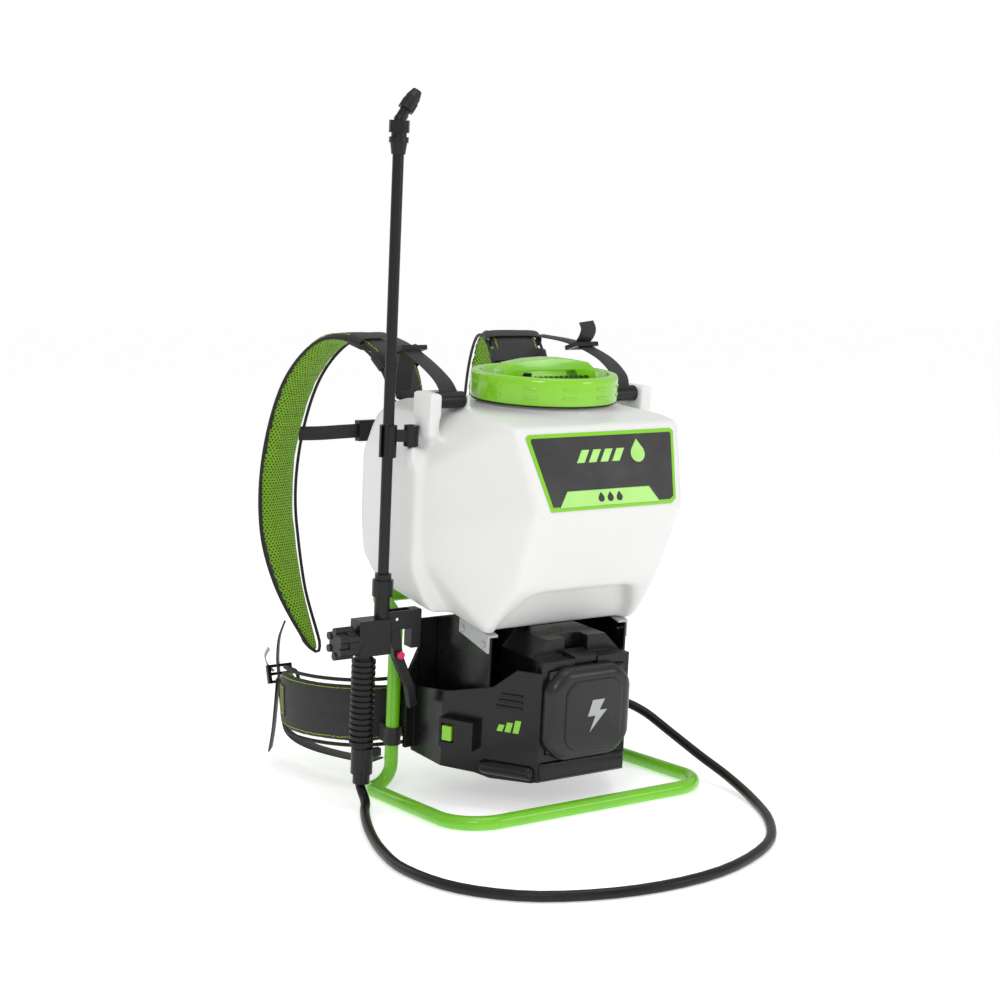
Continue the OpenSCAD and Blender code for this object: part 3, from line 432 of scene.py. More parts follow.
class Paints:
    """Every finish on the sprayer, made the first time it is asked for."""

    KINDS = {
        "tank": Finish(
            "milky_tank",
            (0.80, 0.80, 0.79),
            (0.74, 0.74, 0.735),
            0.36,
            grain=0.00003,
            grain_scale=500,
            blotch_scale=5,
            subsurface=0.12,
        ),
        "neck": Finish("grey_neck", (0.60, 0.61, 0.61), (0.52, 0.53, 0.53), 0.40),
        "powder": Finish(
            "green_powder_coat",
            (0.19, 0.60, 0.012),
            (0.15, 0.50, 0.010),
            0.30,
            grain=0.00006,
            grain_scale=700,
            coat=0.35,
            rounding=0.0006,
        ),
        "cap": Finish(
            "green_gloss",
            (0.24, 0.62, 0.012),
            (0.20, 0.55, 0.010),
            0.22,
            grain=0.00002,
            coat=0.5,
            rounding=0.0010,
        ),
        "rib": Finish("deep_green", (0.03, 0.12, 0.004), (0.02, 0.08, 0.003), 0.45),
        "black": Finish(
            "black_satin",
            (0.006, 0.006, 0.0065),
            (0.012, 0.012, 0.0125),
            0.32,
            grain=0.00005,
            rounding=0.0012,
            specular=0.32,
        ),
        "shell": Finish(
            "black_housing",
            (0.005, 0.005, 0.0055),
            (0.010, 0.010, 0.0105),
            0.24,
            grain=0.00003,
            grain_scale=650,
            rounding=0.0022,
            specular=0.34,
        ),
        "dark": Finish(
            "dark_moulding",
            (0.010, 0.010, 0.011),
            (0.019, 0.019, 0.020),
            0.38,
            grain=0.00006,
            rounding=0.0010,
            specular=0.34,
        ),
        "battery": Finish(
            "battery_grey",
            (0.013, 0.013, 0.014),
            (0.021, 0.021, 0.022),
            0.30,
            grain=0.00005,
            grain_scale=800,
            specular=0.4,
        ),
        "plate": Finish("pale_badge", (0.42, 0.43, 0.44), (0.36, 0.37, 0.38), 0.35, metallic=0.2),
        "rubber": Finish(
            "hose_rubber",
            (0.006, 0.006, 0.006),
            (0.014, 0.014, 0.014),
            0.40,
            grain=0.00008,
            grain_scale=420,
            specular=0.3,
        ),
        "smoke": Finish(
            "smoky_skirt", (0.20, 0.205, 0.21), (0.26, 0.265, 0.27), 0.34, rounding=0.0005
        ),
        "red": Finish(
            "signal_red", (0.70, 0.018, 0.09), (0.55, 0.012, 0.06), 0.38, rounding=0.0004
        ),
        "steel": Finish(
            "bright_zinc",
            (0.66, 0.67, 0.69),
            (0.50, 0.51, 0.53),
            0.24,
            grain=0.00003,
            metallic=1.0,
            rounding=0.0004,
        ),
        "plate_grey": Finish(
            "bracket_paint", (0.50, 0.51, 0.51), (0.42, 0.43, 0.43), 0.45, rounding=0.0005
        ),
        "brass": Finish(
            "brass", (0.72, 0.52, 0.20), (0.55, 0.38, 0.13), 0.30, metallic=1.0, rounding=0.0003
        ),
        "board": Finish("solder_mask", (0.01, 0.12, 0.04), (0.01, 0.09, 0.03), 0.35, coat=0.3),
        "cell": Finish("cell_sleeve", (0.03, 0.10, 0.32), (0.02, 0.07, 0.24), 0.40),
        "field": Finish(
            "label_black", (0.012, 0.012, 0.013), (0.016, 0.016, 0.017), 0.42, grain=0.00001
        ),
        "stitch": Finish("stitch_thread", (0.36, 0.50, 0.02), (0.28, 0.40, 0.015), 0.7),
        "cloth": Cloth(
            "pad_cloth",
            (0.022, 0.022, 0.024),
            (0.008, 0.008, 0.009),
            (0.034, 0.034, 0.037),
            sheen=0.08,
        ),
        "piping": Cloth(
            "piping",
            (0.009, 0.009, 0.010),
            (0.004, 0.004, 0.004),
            (0.015, 0.015, 0.016),
            pitch=0.0012,
            sheen=0.05,
        ),
        "webbing": Cloth(
            "webbing",
            (0.014, 0.014, 0.015),
            (0.004, 0.004, 0.004),
            (0.016, 0.016, 0.017),
            pitch=0.0018,
            rib=1.6,
            depth=0.0004,
            roughness=0.62,
            sheen=0.05,
        ),
        "silver_tab": Cloth(
            "silver_tab", (0.36, 0.37, 0.38), (0.22, 0.22, 0.23), (0.44, 0.45, 0.46), pitch=0.0014
        ),
        "lining": AirMesh("green_lining", (0.22, 0.46, 0.010), (0.030, 0.075, 0.003)),
    }

    def __init__(self) -> None:
        """Starts with nothing mixed."""
        self.made: dict[str, bpy.types.Material] = {}

    def get(self, key: str) -> bpy.types.Material:
        """Returns the finish of that name."""
        if key not in self.made:
            self.made[key] = self.KINDS[key].build()
        return self.made[key]


PAINTS = Paints()


# ---------- mesh work ----------


def settle(
    bm: bmesh.types.BMesh,
    name: str,
    body: Body,
    paints: Sequence[str],
    angle: float = SMOOTH_ANGLE,
) -> bpy.types.Object:
    """Turns a bmesh in row metres into a piece that rides on a body.

    Args:
        bm: the shape, which is freed.
        name: the piece's name.
        body: the body that it moves with.
        paints: finish names, in order of face material index.
        angle: edges sharper than this stay crisp.

    Returns:
        The new object.
    """
    bmesh.ops.recalc_face_normals(bm, faces=bm.faces)
    mesh = bpy.data.meshes.new(name)
    bm.to_mesh(mesh)
    bm.free()
    for key in paints:
        mesh.materials.append(PAINTS.get(key))
    mesh.shade_smooth()
    mesh.set_sharp_from_angle(angle=angle)
    obj = bpy.data.objects.new(name, mesh)
    bpy.context.scene.collection.objects.link(obj)
    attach(obj, body.value)
    LOG.info("piece %s: %d faces", name, len(mesh.polygons))
    return obj


def add_block(
    bm: bmesh.types.BMesh,
    low: Triple,
    high: Triple,
    place: Matrix,
    rounding: float = 0.0,
    segments: int = 3,
) -> list[bmesh.types.BMVert]:
    """Adds a box with rounded edges.

    Args:
        bm: the shape to add to.
        low: lowest corner, in millimetres.
        high: highest corner, in millimetres.
        place: matrix from millimetres to row metres.
        rounding: edge radius in millimetres.
        segments: steps round each edge.

    Returns:
        The box's vertices.
    """
    made = bmesh.ops.create_cube(bm, size=1.0)["verts"]
    size = Vector(high) - Vector(low)
    middle = (Vector(high) + Vector(low)) / 2
    bmesh.ops.transform(
        bm, matrix=Matrix.Translation(middle) @ Matrix.Diagonal((*size, 1.0)), verts=made
    )
    if rounding:
        edges = list({e for v in made for e in v.link_edges})
        made = bevel(bm, edges, rounding, segments)
    bmesh.ops.transform(bm, matrix=place, verts=made)
    return made


def bevel(
    bm: bmesh.types.BMesh, edges: list, width: float, segments: int = 3
) -> list[bmesh.types.BMVert]:
    """Rounds edges, and returns every vertex of the islands that they belong to."""
    done = bmesh.ops.bevel(
        bm,
        geom=edges,
        offset=width,
        segments=segments,
        profile=0.5,
        affect="EDGES",
        material=-1,
        clamp_overlap=True,
    )
    return island(done["verts"][0]) if done["verts"] else [v for e in edges for v in e.verts]


def island(start: bmesh.types.BMVert) -> list[bmesh.types.BMVert]:
    """Returns all vertices joined to one by edges."""
    found, queue = {start}, [start]
    while queue:
        for e in queue.pop().link_edges:
            for v in e.verts:
                if v not in found:
                    found.add(v)
                    queue.append(v)
    return list(found)


def add_prism(
    bm: bmesh.types.BMesh,
    outline: Sequence[Pair],
    depth: float,
    place: Matrix,
    rounding: float = 0.0,
    segments: int = 2,
) -> list[bmesh.types.BMVert]:
    """Adds a flat outline in x and y drawn out along z.

    Args:
        bm: the shape to add to.
        outline: corner points in millimetres.
        depth: length along z in millimetres.
        place: matrix from millimetres to row metres.
        rounding: edge radius in millimetres.
        segments: steps round each edge.

    Returns:
        The prism's vertices.
    """
    face = bm.faces.new([bm.verts.new((x, y, 0)) for x, y in outline])
    grown = bmesh.ops.extrude_face_region(bm, geom=[face])["geom"]
    top = [v for v in grown if isinstance(v, bmesh.types.BMVert)]
    bmesh.ops.translate(bm, verts=top, vec=(0, 0, depth))
    made = island(top[0])
    if rounding:
        edges = list({e for v in made for e in v.link_edges})
        made = bevel(bm, edges, rounding, segments)
    bmesh.ops.transform(bm, matrix=place, verts=made)
    return made


def add_lathe(
    bm: bmesh.types.BMesh, profile: Sequence[Pair], place: Matrix, steps: int = 96
) -> list[bmesh.types.BMVert]:
    """Adds a profile of radius and height turned about z.

    Args:
        bm: the shape to add to.
        profile: radius and height pairs in millimetres.
        place: matrix from millimetres to row metres.
        steps: faces round the axis.

    Returns:
        The turned vertices.
    """
    start = [bm.verts.new((r, 0, z)) for r, z in profile]
    edges = [bm.edges.new(pair) for pair in zip(start, start[1:])]
    before = set(bm.verts) - set(start)
    bmesh.ops.spin(
        bm,
        geom=start + edges,
        cent=(0, 0, 0),
        axis=(0, 0, 1),
        dvec=(0, 0, 0),
        angle=math.tau,
        steps=steps,
        use_merge=True,
    )
    made = [v for v in bm.verts if v not in before]
    bmesh.ops.remove_doubles(bm, verts=made, dist=0.001)
    made = [v for v in bm.verts if v not in before]
    bmesh.ops.transform(bm, matrix=place, verts=made)
    return made


def smooth_run(points: Sequence[Vector], steps: int) -> list[Vector]:
    """Returns a smooth curve through every point, with that many steps between neighbours."""
    out = []
    for i in range(len(points) - 1):
        a, b = points[max(i - 1, 0)], points[i]
        c, d = points[i + 1], points[min(i + 2, len(points) - 1)]
        for k in range(steps):
            t = k / steps
            square = (2 * a - 5 * b + 4 * c - d) * t * t
            cube = (3 * b - a - 3 * c + d) * t**3
            out.append(0.5 * (2 * b + (c - a) * t + square + cube))
    return [*out, points[-1].copy()]


def stations(
    run: Sequence[Vector],
    across: Callable[[int], Vector],
    scale: Optional[Callable[[float], float]] = None,
) -> list[Matrix]:
    """Returns a frame at each point of a run: x across it, y through it, z along it.

    Args:
        run: points in row metres.
        across: the wanted sideways direction at a point's index.
        scale: share of the full width at a share of the length.
    """
    out = []
    for i, point in enumerate(run):
        tangent = (run[min(i + 1, len(run) - 1)] - run[max(i - 1, 0)]).normalized()
        side = across(i)
        side = (side - side.dot(tangent) * tangent).normalized()
        through = tangent.cross(side)
        wide = scale(i / (len(run) - 1)) if scale else 1.0
        turn = Matrix((side * wide, through, tangent)).transposed().to_4x4()
        out.append(Matrix.Translation(point) @ turn)
    return out


def add_sweep(
    bm: bmesh.types.BMesh, section: Sequence[Pair], frames: Sequence[Matrix]
) -> list[bmesh.types.BMVert]:
    """Sweeps a closed section along frames, and stores how far along and across each vertex lies.

    Args:
        bm: the shape to add to.
        section: points across and through, in metres.
        frames: the frames to pass through.

    Returns:
        The swept vertices.
    """
    lay = bm.verts.layers.float_vector.get("lay") or bm.verts.layers.float_vector.new("lay")
    ring = [bm.verts.new(frames[0] @ Vector((a, b, 0))) for a, b in section]
    made, run, face = list(ring), 0.0, bm.faces.new(ring)
    for v, (a, _) in zip(ring, section):
        v[lay] = (0.0, a, 0.0)
    for before, after in zip(frames, frames[1:]):
        grown = bmesh.ops.extrude_face_region(bm, geom=[face])["geom"]
        ring = [v for v in grown if isinstance(v, bmesh.types.BMVert)]
        face = next(f for f in grown if isinstance(f, bmesh.types.BMFace))
        bmesh.ops.transform(bm, matrix=after @ before.inverted(), verts=ring)
        run += (after.translation - before.translation).length
        back = after.inverted()
        for v in ring:
            v[lay] = (run, (back @ v.co).x, 0.0)
        made += ring
    return made


def round_section(radius: float, sides: int = 8) -> list[Pair]:
    """Returns a round section."""
    return [
        (radius * math.cos(math.tau * k / sides), radius * math.sin(math.tau * k / sides))
        for k in range(sides)
    ]


def flat_section(width: float, thickness: float) -> list[Pair]:
    """Returns the section of a flat strap with softened edges."""
    w, t = width / 2, thickness / 2
    return [
        (-w, -t * 0.5), (-w + t, -t), (w - t, -t), (w, -t * 0.5), (w, t * 0.5), (w - t, t),
        (-w + t, t), (-w, t * 0.5),
    ]


def crowned_section(width: float, thickness: float, points: int = 28) -> list[Pair]:
    """Returns the section of a stuffed band, full in the middle and thin at its edges."""
    out = []
    for k in range(points):
        a = math.tau * k / points
        c, s = math.cos(a), math.sin(a)
        across = width / 2 * math.copysign(abs(c) ** 0.6, c)
        through = thickness / 2 * math.copysign(abs(s) ** 0.75, s)
        out.append((across, through))
    return out


def dress(nodes: Iterable[str], paint: str) -> None:
    """Gives carried-over CAD nodes their finish."""
    for name in nodes:
        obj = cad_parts[name]
        if not obj.data.materials:
            obj.data.materials.append(PAINTS.get(paint))
        for place in obj.material_slots:
            place.material = PAINTS.get(paint)
        LOG.info("node %s dressed in %s", name, paint)


# ---------- stage ----------


@dataclass
class Studio:
    """Camera, plain floor and soft lights."""

    eye: Triple = (-1.4154, -2.1624, 0.6633)
    pitch: float = math.radians(90 - 6.32)
    heading: float = math.radians(-34.07)
    lens: float = 69.3
    sensor: float = 36.0
    clip: Pair = (0.05, 60.0)
    floor_half: float = 30.0
    floor_glow: float = 0.45
    surround_strength: float = 0.58
    lights: tuple = (
        ("overhead", (0.2, -0.6, 2.4), (0.0, 0.0, 0.3), 1.3, 14.0),
        ("left_front", (-1.7, -2.0, 1.7), (0.0, 0.0, 0.4), 0.8, 13.0),
        ("right_front", (1.4, -2.2, 1.0), (0.0, 0.0, 0.4), 0.7, 7.0),
        ("back_rim", (-1.0, 2.4, 1.6), (0.0, 0.0, 0.4), 1.2, 5.0),
    )

    def camera(self) -> None:
        """Places the camera."""
        data = bpy.data.cameras.new("view")
        data.lens, data.sensor_width = self.lens, self.sensor
        data.clip_start, data.clip_end = self.clip
        cam = bpy.data.objects.new("view", data)
        cam.location = self.eye
        cam.rotation_euler = (self.pitch, 0.0, self.heading)
        bpy.context.scene.collection.objects.link(cam)
        bpy.context.scene.camera = cam

    def floor(self) -> None:
        """Lays the pale floor."""
        bm = bmesh.new()
        bmesh.ops.create_grid(bm, x_segments=1, y_segments=1, size=self.floor_half)
        mesh = bpy.data.meshes.new("studio_floor")
        bm.to_mesh(mesh)
        bm.free()
        material, _, shader = blank_material("studio_floor")
        shader.inputs["Base Color"].default_value = (0.93, 0.93, 0.93, 1)
        shader.inputs["Roughness"].default_value = 0.9
        shader.inputs["Specular IOR Level"].default_value = 0.1
        shader.inputs["Emission Color"].default_value = (1.0, 1.0, 1.0, 1.0)
        shader.inputs["Emission Strength"].default_value = self.floor_glow
        mesh.materials.append(material)
        floor = bpy.data.objects.new("studio_floor", mesh)
        bpy.context.scene.collection.objects.link(floor)

    def light(self) -> None:
        """Hangs the soft lights and the white surround."""
        world = bpy.data.worlds.new("surround")
        world.use_nodes = True
        tree = world.node_tree
        back = tree.nodes["Background"]
        back.inputs["Color"].default_value = (1.0, 1.0, 1.0, 1.0)
        back.inputs["Strength"].default_value = self.surround_strength
        seen = tree.nodes.new("ShaderNodeBackground")
        seen.inputs["Color"].default_value = (1.0, 1.0, 1.0, 1.0)
        mix = tree.nodes.new("ShaderNodeMixShader")
        path = tree.nodes.new("ShaderNodeLightPath")
        tree.links.new(path.outputs["Is Camera Ray"], mix.inputs[0])
        tree.links.new(back.outputs[0], mix.inputs[1])
        tree.links.new(seen.outputs[0], mix.inputs[2])
        tree.links.new(mix.outputs[0], tree.nodes["World Output"].inputs["Surface"])
        bpy.context.scene.world = world
        bpy.context.scene.view_settings.view_transform = "Standard"
        for name, place, target, size, power in self.lights:
            data = bpy.data.lights.new(name, "AREA")
            data.shape, data.size, data.energy = "SQUARE", size, power
            lamp = bpy.data.objects.new(name, data)
            lamp.location = place
            aim = Vector(target) - Vector(place)
            lamp.rotation_euler = aim.to_track_quat("-Z", "Y").to_euler()
            bpy.context.scene.collection.objects.link(lamp)


# ---------- spray hose ----------


@dataclass
class SprayHose:
    """The hose from the gun's grip, round the floor, to the pump outlet."""

    diameter: float = 0.0125
    gland: Triple = (-234.0, 70.0, 30.0)
    outlet: Triple = (160.0, 62.0, 84.0)
    lying: tuple[Triple, ...] = (
        (-238, 50, 12), (-256, 20, 6.6), (-290, -50, 6.4), (-320, -130, 6.4), (-336, -210, 6.4),
        (-322, -300, 6.4),
        (-265, -374, 6.4), (-163, -416, 6.4), (-45, -415, 6.4), (68, -366, 6.4),
        (140, -292, 6.4), (190, -205, 7),
        (212, -130, 18), (214, -70, 34), (210, -10, 56), (200, 30, 76),
    )

    def route(self) -> list[Vector]:
        """Returns the points that the hose follows, in row metres."""
        start, end = STANCE.leaned(*self.gland), STANCE.leaned(*self.outlet)
        drawn = [start, start + Vector((0, 2, -8)), *map(Vector, self.lying)]
        drawn += [end + Vector((22, -3, 0)), end + Vector((10, 0, 0)), end]
        return smooth_run([STANCE.floor(*p) for p in drawn], 4)

    def build(self) -> bpy.types.Object:
        run = self.route()
        curve = bpy.data.curves.new("spray_hose", "CURVE")
        curve.dimensions = "3D"
        curve.bevel_depth = self.diameter / 2
        curve.bevel_resolution = 5
        curve.use_fill_caps = True
        spline = curve.splines.new("POLY")
        spline.points.add(len(run) - 1)
        for point, place in zip(spline.points, run):
            point.co = (*place, 1.0)
        spline.use_smooth = True
        curve.materials.append(PAINTS.get("rubber"))
        hose = bpy.data.objects.new("spray_hose", curve)
        bpy.context.scene.collection.objects.link(hose)
        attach(hose, Body.CARRIER.value)
        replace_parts(hose, "hose")
        return hose


# ---------- tank ----------


TANK_NODES = ("tank", "neck_ring", "strap_lugs")


@dataclass
class Tank:
    """The blow-moulded tank, softened from its drawn form, with its label and neck ring."""

    neck_y: float = 39.0
    bore: float = 76.0
    neck_top: float = 536.0
    bore_depth: float = 62.0
    outlet_y: float = 60.0
    outlet_r: float = 11.0
    voxel: float = 0.0031
    rounds: int = 13
    crease_y: float = 118.0
    crease_z: float = 400.0
    face_tilt: float = math.atan2(34, 101)
    label_x: float = 114.0

    def closed_skin(self, node: str) -> bpy.types.Mesh:
        """Returns the outside of a drawn node, in leaning metres, with its bores closed."""
        bm = bmesh.new()
        bm.from_mesh(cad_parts[node].data)
        bmesh.ops.remove_doubles(bm, verts=bm.verts, dist=1e-6)
        to_drawing = Matrix.Scale(MM, 4) @ STANCE.matrix().inverted()
        bmesh.ops.transform(bm, matrix=to_drawing, verts=bm.verts)
        bores = []
        for f in bm.faces:
            c = f.calc_center_median() / MM
            neck = abs(math.hypot(c.x, c.y - self.neck_y) - self.bore) < 0.8 and c.z > 490
            outlet = abs(math.hypot(c.x, c.y - self.outlet_y) - self.outlet_r) < 0.6 and c.z < 300
            if (neck or outlet) and abs(f.normal.z) < 0.2:
                bores.append(f)
        bmesh.ops.delete(bm, geom=bores, context="FACES")
        if node == "tank":
            keep = self.widest(bm)
            bmesh.ops.delete(bm, geom=[v for v in bm.verts if v not in keep], context="VERTS")
        bmesh.ops.holes_fill(bm, edges=[e for e in bm.edges if e.is_boundary], sides=0)
        mesh = bpy.data.meshes.new(node + "_skin")
        bm.to_mesh(mesh)
        bm.free()
        return mesh

    @staticmethod
    def widest(bm: bmesh.types.BMesh) -> set:
        """Returns the vertices of the island with the largest box."""
        best: list = []
        left = set(bm.verts)
        while left:
            part = island(left.pop())
            left -= set(part)
            if not best or span(part) > span(best):
                best = part
        return set(best)

    def outer_skin(self) -> bmesh.types.BMesh:
        """Returns the closed outsides of the tank, its neck ring and its lugs together."""
        bm = bmesh.new()
        for node in TANK_NODES:
            skin = self.closed_skin(node)
            bm.from_mesh(skin)
            bpy.data.meshes.remove(skin)
        return bm

    def soften(self, mesh: bpy.types.Mesh) -> None:
        """Rounds the skin by moving each point towards its neighbours, least on lugs and neck."""
        count = len(mesh.vertices)
        co = np.zeros(count * 3)
        mesh.vertices.foreach_get("co", co)
        co = co.reshape(-1, 3)
        pairs = np.zeros(len(mesh.edges) * 2, np.int32)
        mesh.edges.foreach_get("vertices", pairs)
        pairs = pairs.reshape(-1, 2)
        degree = np.bincount(pairs.ravel(), minlength=count)[:, None]
        x, y, z = co[:, 0] / MM, co[:, 1] / MM, co[:, 2] / MM
        weight = np.full(count, 0.75)
        weight[(z > 511)] = 0.16
        weight[(np.abs(x) > 104) & (z > 500) & (y > 28) & (y < 80)] = 0.05
        weight[(x < -179) & (y > 46) & (y < 76) & (z > 434) & (z < 466)] = 0.15
        for _ in range(self.rounds):
            total = np.zeros_like(co)
            for axis in range(3):
                there = np.bincount(pairs[:, 0], co[pairs[:, 1], axis], count)
                back = np.bincount(pairs[:, 1], co[pairs[:, 0], axis], count)
                total[:, axis] = there + back
            co += weight[:, None] * (total / degree - co)
        mesh.vertices.foreach_set("co", co.astype(np.float32).ravel())

    def open_neck(self, bm: bmesh.types.BMesh) -> None:
        """Sinks the filler bore back into the softened skin."""
        top = [
            f
            for f in bm.faces
            if f.calc_center_median().z > (self.neck_top - 6) * MM
            and math.hypot(
                f.calc_center_median().x, f.calc_center_median().y - self.neck_y * MM
            ) < (self.bore - 1.5) * MM
        ]
        bmesh.ops.delete(bm, geom=top, context="FACES")
        rim = [e for e in bm.edges if e.is_boundary]
        axis = Vector((0, self.neck_y * MM, 0))
        for v in {v for e in rim for v in e.verts}:
            flat = Vector((v.co.x, v.co.y - axis.y))
            flat = flat.normalized() * self.bore * MM
            v.co = (flat.x, flat.y + axis.y, self.neck_top * MM)
        for step in (4.0, self.bore_depth - 4.0):
            grown = bmesh.ops.extrude_edge_only(bm, edges=rim)["geom"]
            low = [v for v in grown if isinstance(v, bmesh.types.BMVert)]
            bmesh.ops.translate(bm, verts=low, vec=(0, 0, -step * MM))
            rim = [e for e in grown if isinstance(e, bmesh.types.BMEdge)]
        bmesh.ops.holes_fill(bm, edges=rim, sides=0)

    def shell(self) -> None:
        """Builds the soft tank."""
        bm = self.outer_skin()
        mesh = bpy.data.meshes.new("tank_work")
        bm.to_mesh(mesh)
        bm.free()
        work = bpy.data.objects.new("tank_work", mesh)
        bpy.context.scene.collection.objects.link(work)
        remesh = work.modifiers.new("even", "REMESH")
        remesh.mode, remesh.voxel_size = "VOXEL", self.voxel
        graph = bpy.context.evaluated_depsgraph_get()
        even = bpy.data.meshes.new_from_object(work.evaluated_get(graph))
        bpy.data.objects.remove(work)
        self.soften(even)
        bm = bmesh.new()
        bm.from_mesh(even)
        self.open_neck(bm)
        bmesh.ops.transform(bm, matrix=STANCE.matrix() @ Matrix.Scale(1 / MM, 4), verts=bm.verts)
        tank = settle(bm, "tank_shell", Body.CARRIER, ["tank"], angle=math.radians(60))
        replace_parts(tank, *TANK_NODES)

    def label_place(self, lift: float) -> Matrix:
        """Returns the matrix from label millimetres to row metres, lifted off the face."""
        up = Matrix.Rotation(math.pi / 2 - self.face_tilt, 4, "X")
        crease = Matrix.Translation((0, -self.crease_y, self.crease_z))
        return STANCE.matrix() @ crease @ up @ Matrix.Translation((0, 95, lift))

    def label(self) -> None:
        """Builds the printed label: green border, black field, green tab and plain marks."""
        w = self.label_x
        outline = [
            (-w, 0), (-w + 23, -92), (w - 19, -92), (w - 11, -86), (w, 0), (w - 4, 4), (4 - w, 4)
        ]
        bm = bmesh.new()
        add_prism(bm, outline, 0.9, self.label_place(0.0), rounding=0.3, segments=2)
        border = settle(bm, "label_border", Body.CARRIER, ["cap"])
        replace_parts(border, "tank_label")
        inner = [
            (-w + 6.5, -4), (-w + 26.5, -86.5), (w - 21, -86.5), (w - 15, -83), (w - 5, -3),
            (w - 7, -1), (8 - w, -1),
        ]
        bm = bmesh.new()
        add_prism(bm, inner, 0.5, self.label_place(0.85), rounding=0.15, segments=1)
        settle(bm, "label_field", Body.CARRIER, ["field"])
        bm = bmesh.new()
        add_prism(
            bm,
            [(-78, -88), (-64, -68), (62, -68), (76, -88)],
            0.4,
            self.label_place(1.3),
            rounding=0.15,
            segments=1,
        )
        for x in (-44, -26, -8, 10):
            add_prism(
                bm,
                [(x, -34), (x + 12, -34), (x + 22, -18), (x + 10, -18)],
                0.35,
                self.label_place(1.3),
                0.1,
                1,
            )
        self.drop(bm, 52, -26, 11, self.label_place(1.3))
        settle(bm, "label_marks", Body.CARRIER, ["cap"])
        bm = bmesh.new()
        for x in (-14, 0, 14):
            self.drop(bm, x, -79, 4.6, self.label_place(1.65))
        settle(bm, "label_tab_drops", Body.CARRIER, ["field"])

    @staticmethod
    def drop(bm: bmesh.types.BMesh, x: float, y: float, r: float, place: Matrix) -> None:
        """Adds a small flat water drop of radius r round x and y."""
        sweep = math.radians(125)
        angles = np.linspace(-sweep, sweep, 18)
        round_part = [(x + r * math.sin(a), y - r * math.cos(a)) for a in angles]
        add_prism(bm, [*round_part, (x, y + 1.7 * r)], 0.3, place)

    def build(self) -> None:
        """Builds the tank and its label."""
        self.shell()
        self.label()


def span(verts: Sequence[bmesh.types.BMVert]) -> float:
    """Returns the box diagonal of some vertices."""
    co = np.array([v.co for v in verts])
    return float(np.linalg.norm(co.max(0) - co.min(0)))


# ---------- cap ----------


@dataclass
class Cap:
    """The screw cap with its raised grip bar."""

    neck_y: float = 39.0
    low: float = 520.0
    height: float = 35.0
    outer: float = 95.0
    inner: float = 86.0
    plate: float = 12.0
    bar_rise: float = 17.0
    ribs: int = 15

    def place(self) -> Matrix:
        """Returns the matrix from cap millimetres, on the neck's axis, to row metres."""
        return STANCE.matrix() @ Matrix.Translation((0, self.neck_y, 0))

    def build(self) -> None:
        """Builds the cap's dish, bar, grip panels and ribs."""
        top, low, r = self.low + self.height, self.low, self.outer
        floor = top - self.plate
        profile = [
            (0.0, floor), (58, floor), (71, floor + 0.3), (75.5, floor + 1.8), (78, floor + 5),
            (80, top - 3),
            (81.8, top - 0.9), (84, top), (90, top), (92.8, top - 0.8), (94.4, top - 2.6),
            (r, top - 5.4), (r, low + 3),
            (94.2, low + 0.8), (92.8, low), (self.inner + 1, low), (self.inner, low + 1),
            (self.inner, top - 14.8),
            (self.inner - 1, top - 14), (0.0, top - 14),
        ]
        bm = bmesh.new()
        add_lathe(bm, profile, self.place(), 128)
        dish = settle(bm, "cap_dish", Body.CAP, ["cap"])
        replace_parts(dish, "cap")
        bm = bmesh.new()
        self.bar(bm, top)
        settle(bm, "cap_bar", Body.CAP, ["cap"], angle=math.radians(50))
        bm = bmesh.new()
        for k in range(self.ribs):
            x = -56 + k * 112 / (self.ribs - 1)
            add_block(
                bm, (x - 1.3, -20, floor - 0.3), (x + 1.3, -12.5, floor + 6.5), self.place(), 0.6, 2
            )
        settle(bm, "cap_bar_ribs", Body.CAP, ["rib"])
        bm = bmesh.new()
        for k in range(12):
            turn = Matrix.Rotation(math.tau * (k + 0.5) / 12, 4, "Z")
            for z in (low + 9, low + 20):
                add_block(bm, (r - 1.0, -9, z), (r + 0.9, 9, z + 3.2), self.place() @ turn, 0.8, 2)
        settle(bm, "cap_grip_panels", Body.CAP, ["cap"])
        bm = bmesh.new()
        ring = [
            (self.inner + 1.5, low - 1.6), (r - 1.2, low - 1.6), (r - 1.2, low + 0.1),
            (self.inner + 1.5, low + 0.1),
        ]
        add_lathe(bm, [*ring, ring[0]], self.place(), 128)
        settle(bm, "cap_seal_line", Body.CAP, ["rubber"])

    def bar(self, bm: bmesh.types.BMesh, top: float) -> None:
        """Adds the raised grip bar with its finger slot."""
        rise = self.bar_rise
        half = [(75, top - 13), (70, top + 3), (60, top + rise - 6), (30, top + rise - 1.5)]
        outer = [*[(-x, z) for x, z in half], (0, top + rise), *reversed(half)]
        turn = Matrix.Rotation(math.pi / 2, 4, "X")
        place = self.place() @ Matrix.Translation((0, 13, 0)) @ turn
        outline = [
            *outer,
            (46, top - 13), (46, top - 11), (40, top + 1), (-40, top + 1), (-46, top - 11),
            (-46, top - 13),
        ]
        add_prism(bm, outline, 26, place, rounding=2.6, segments=3)


# ---------- battery ----------


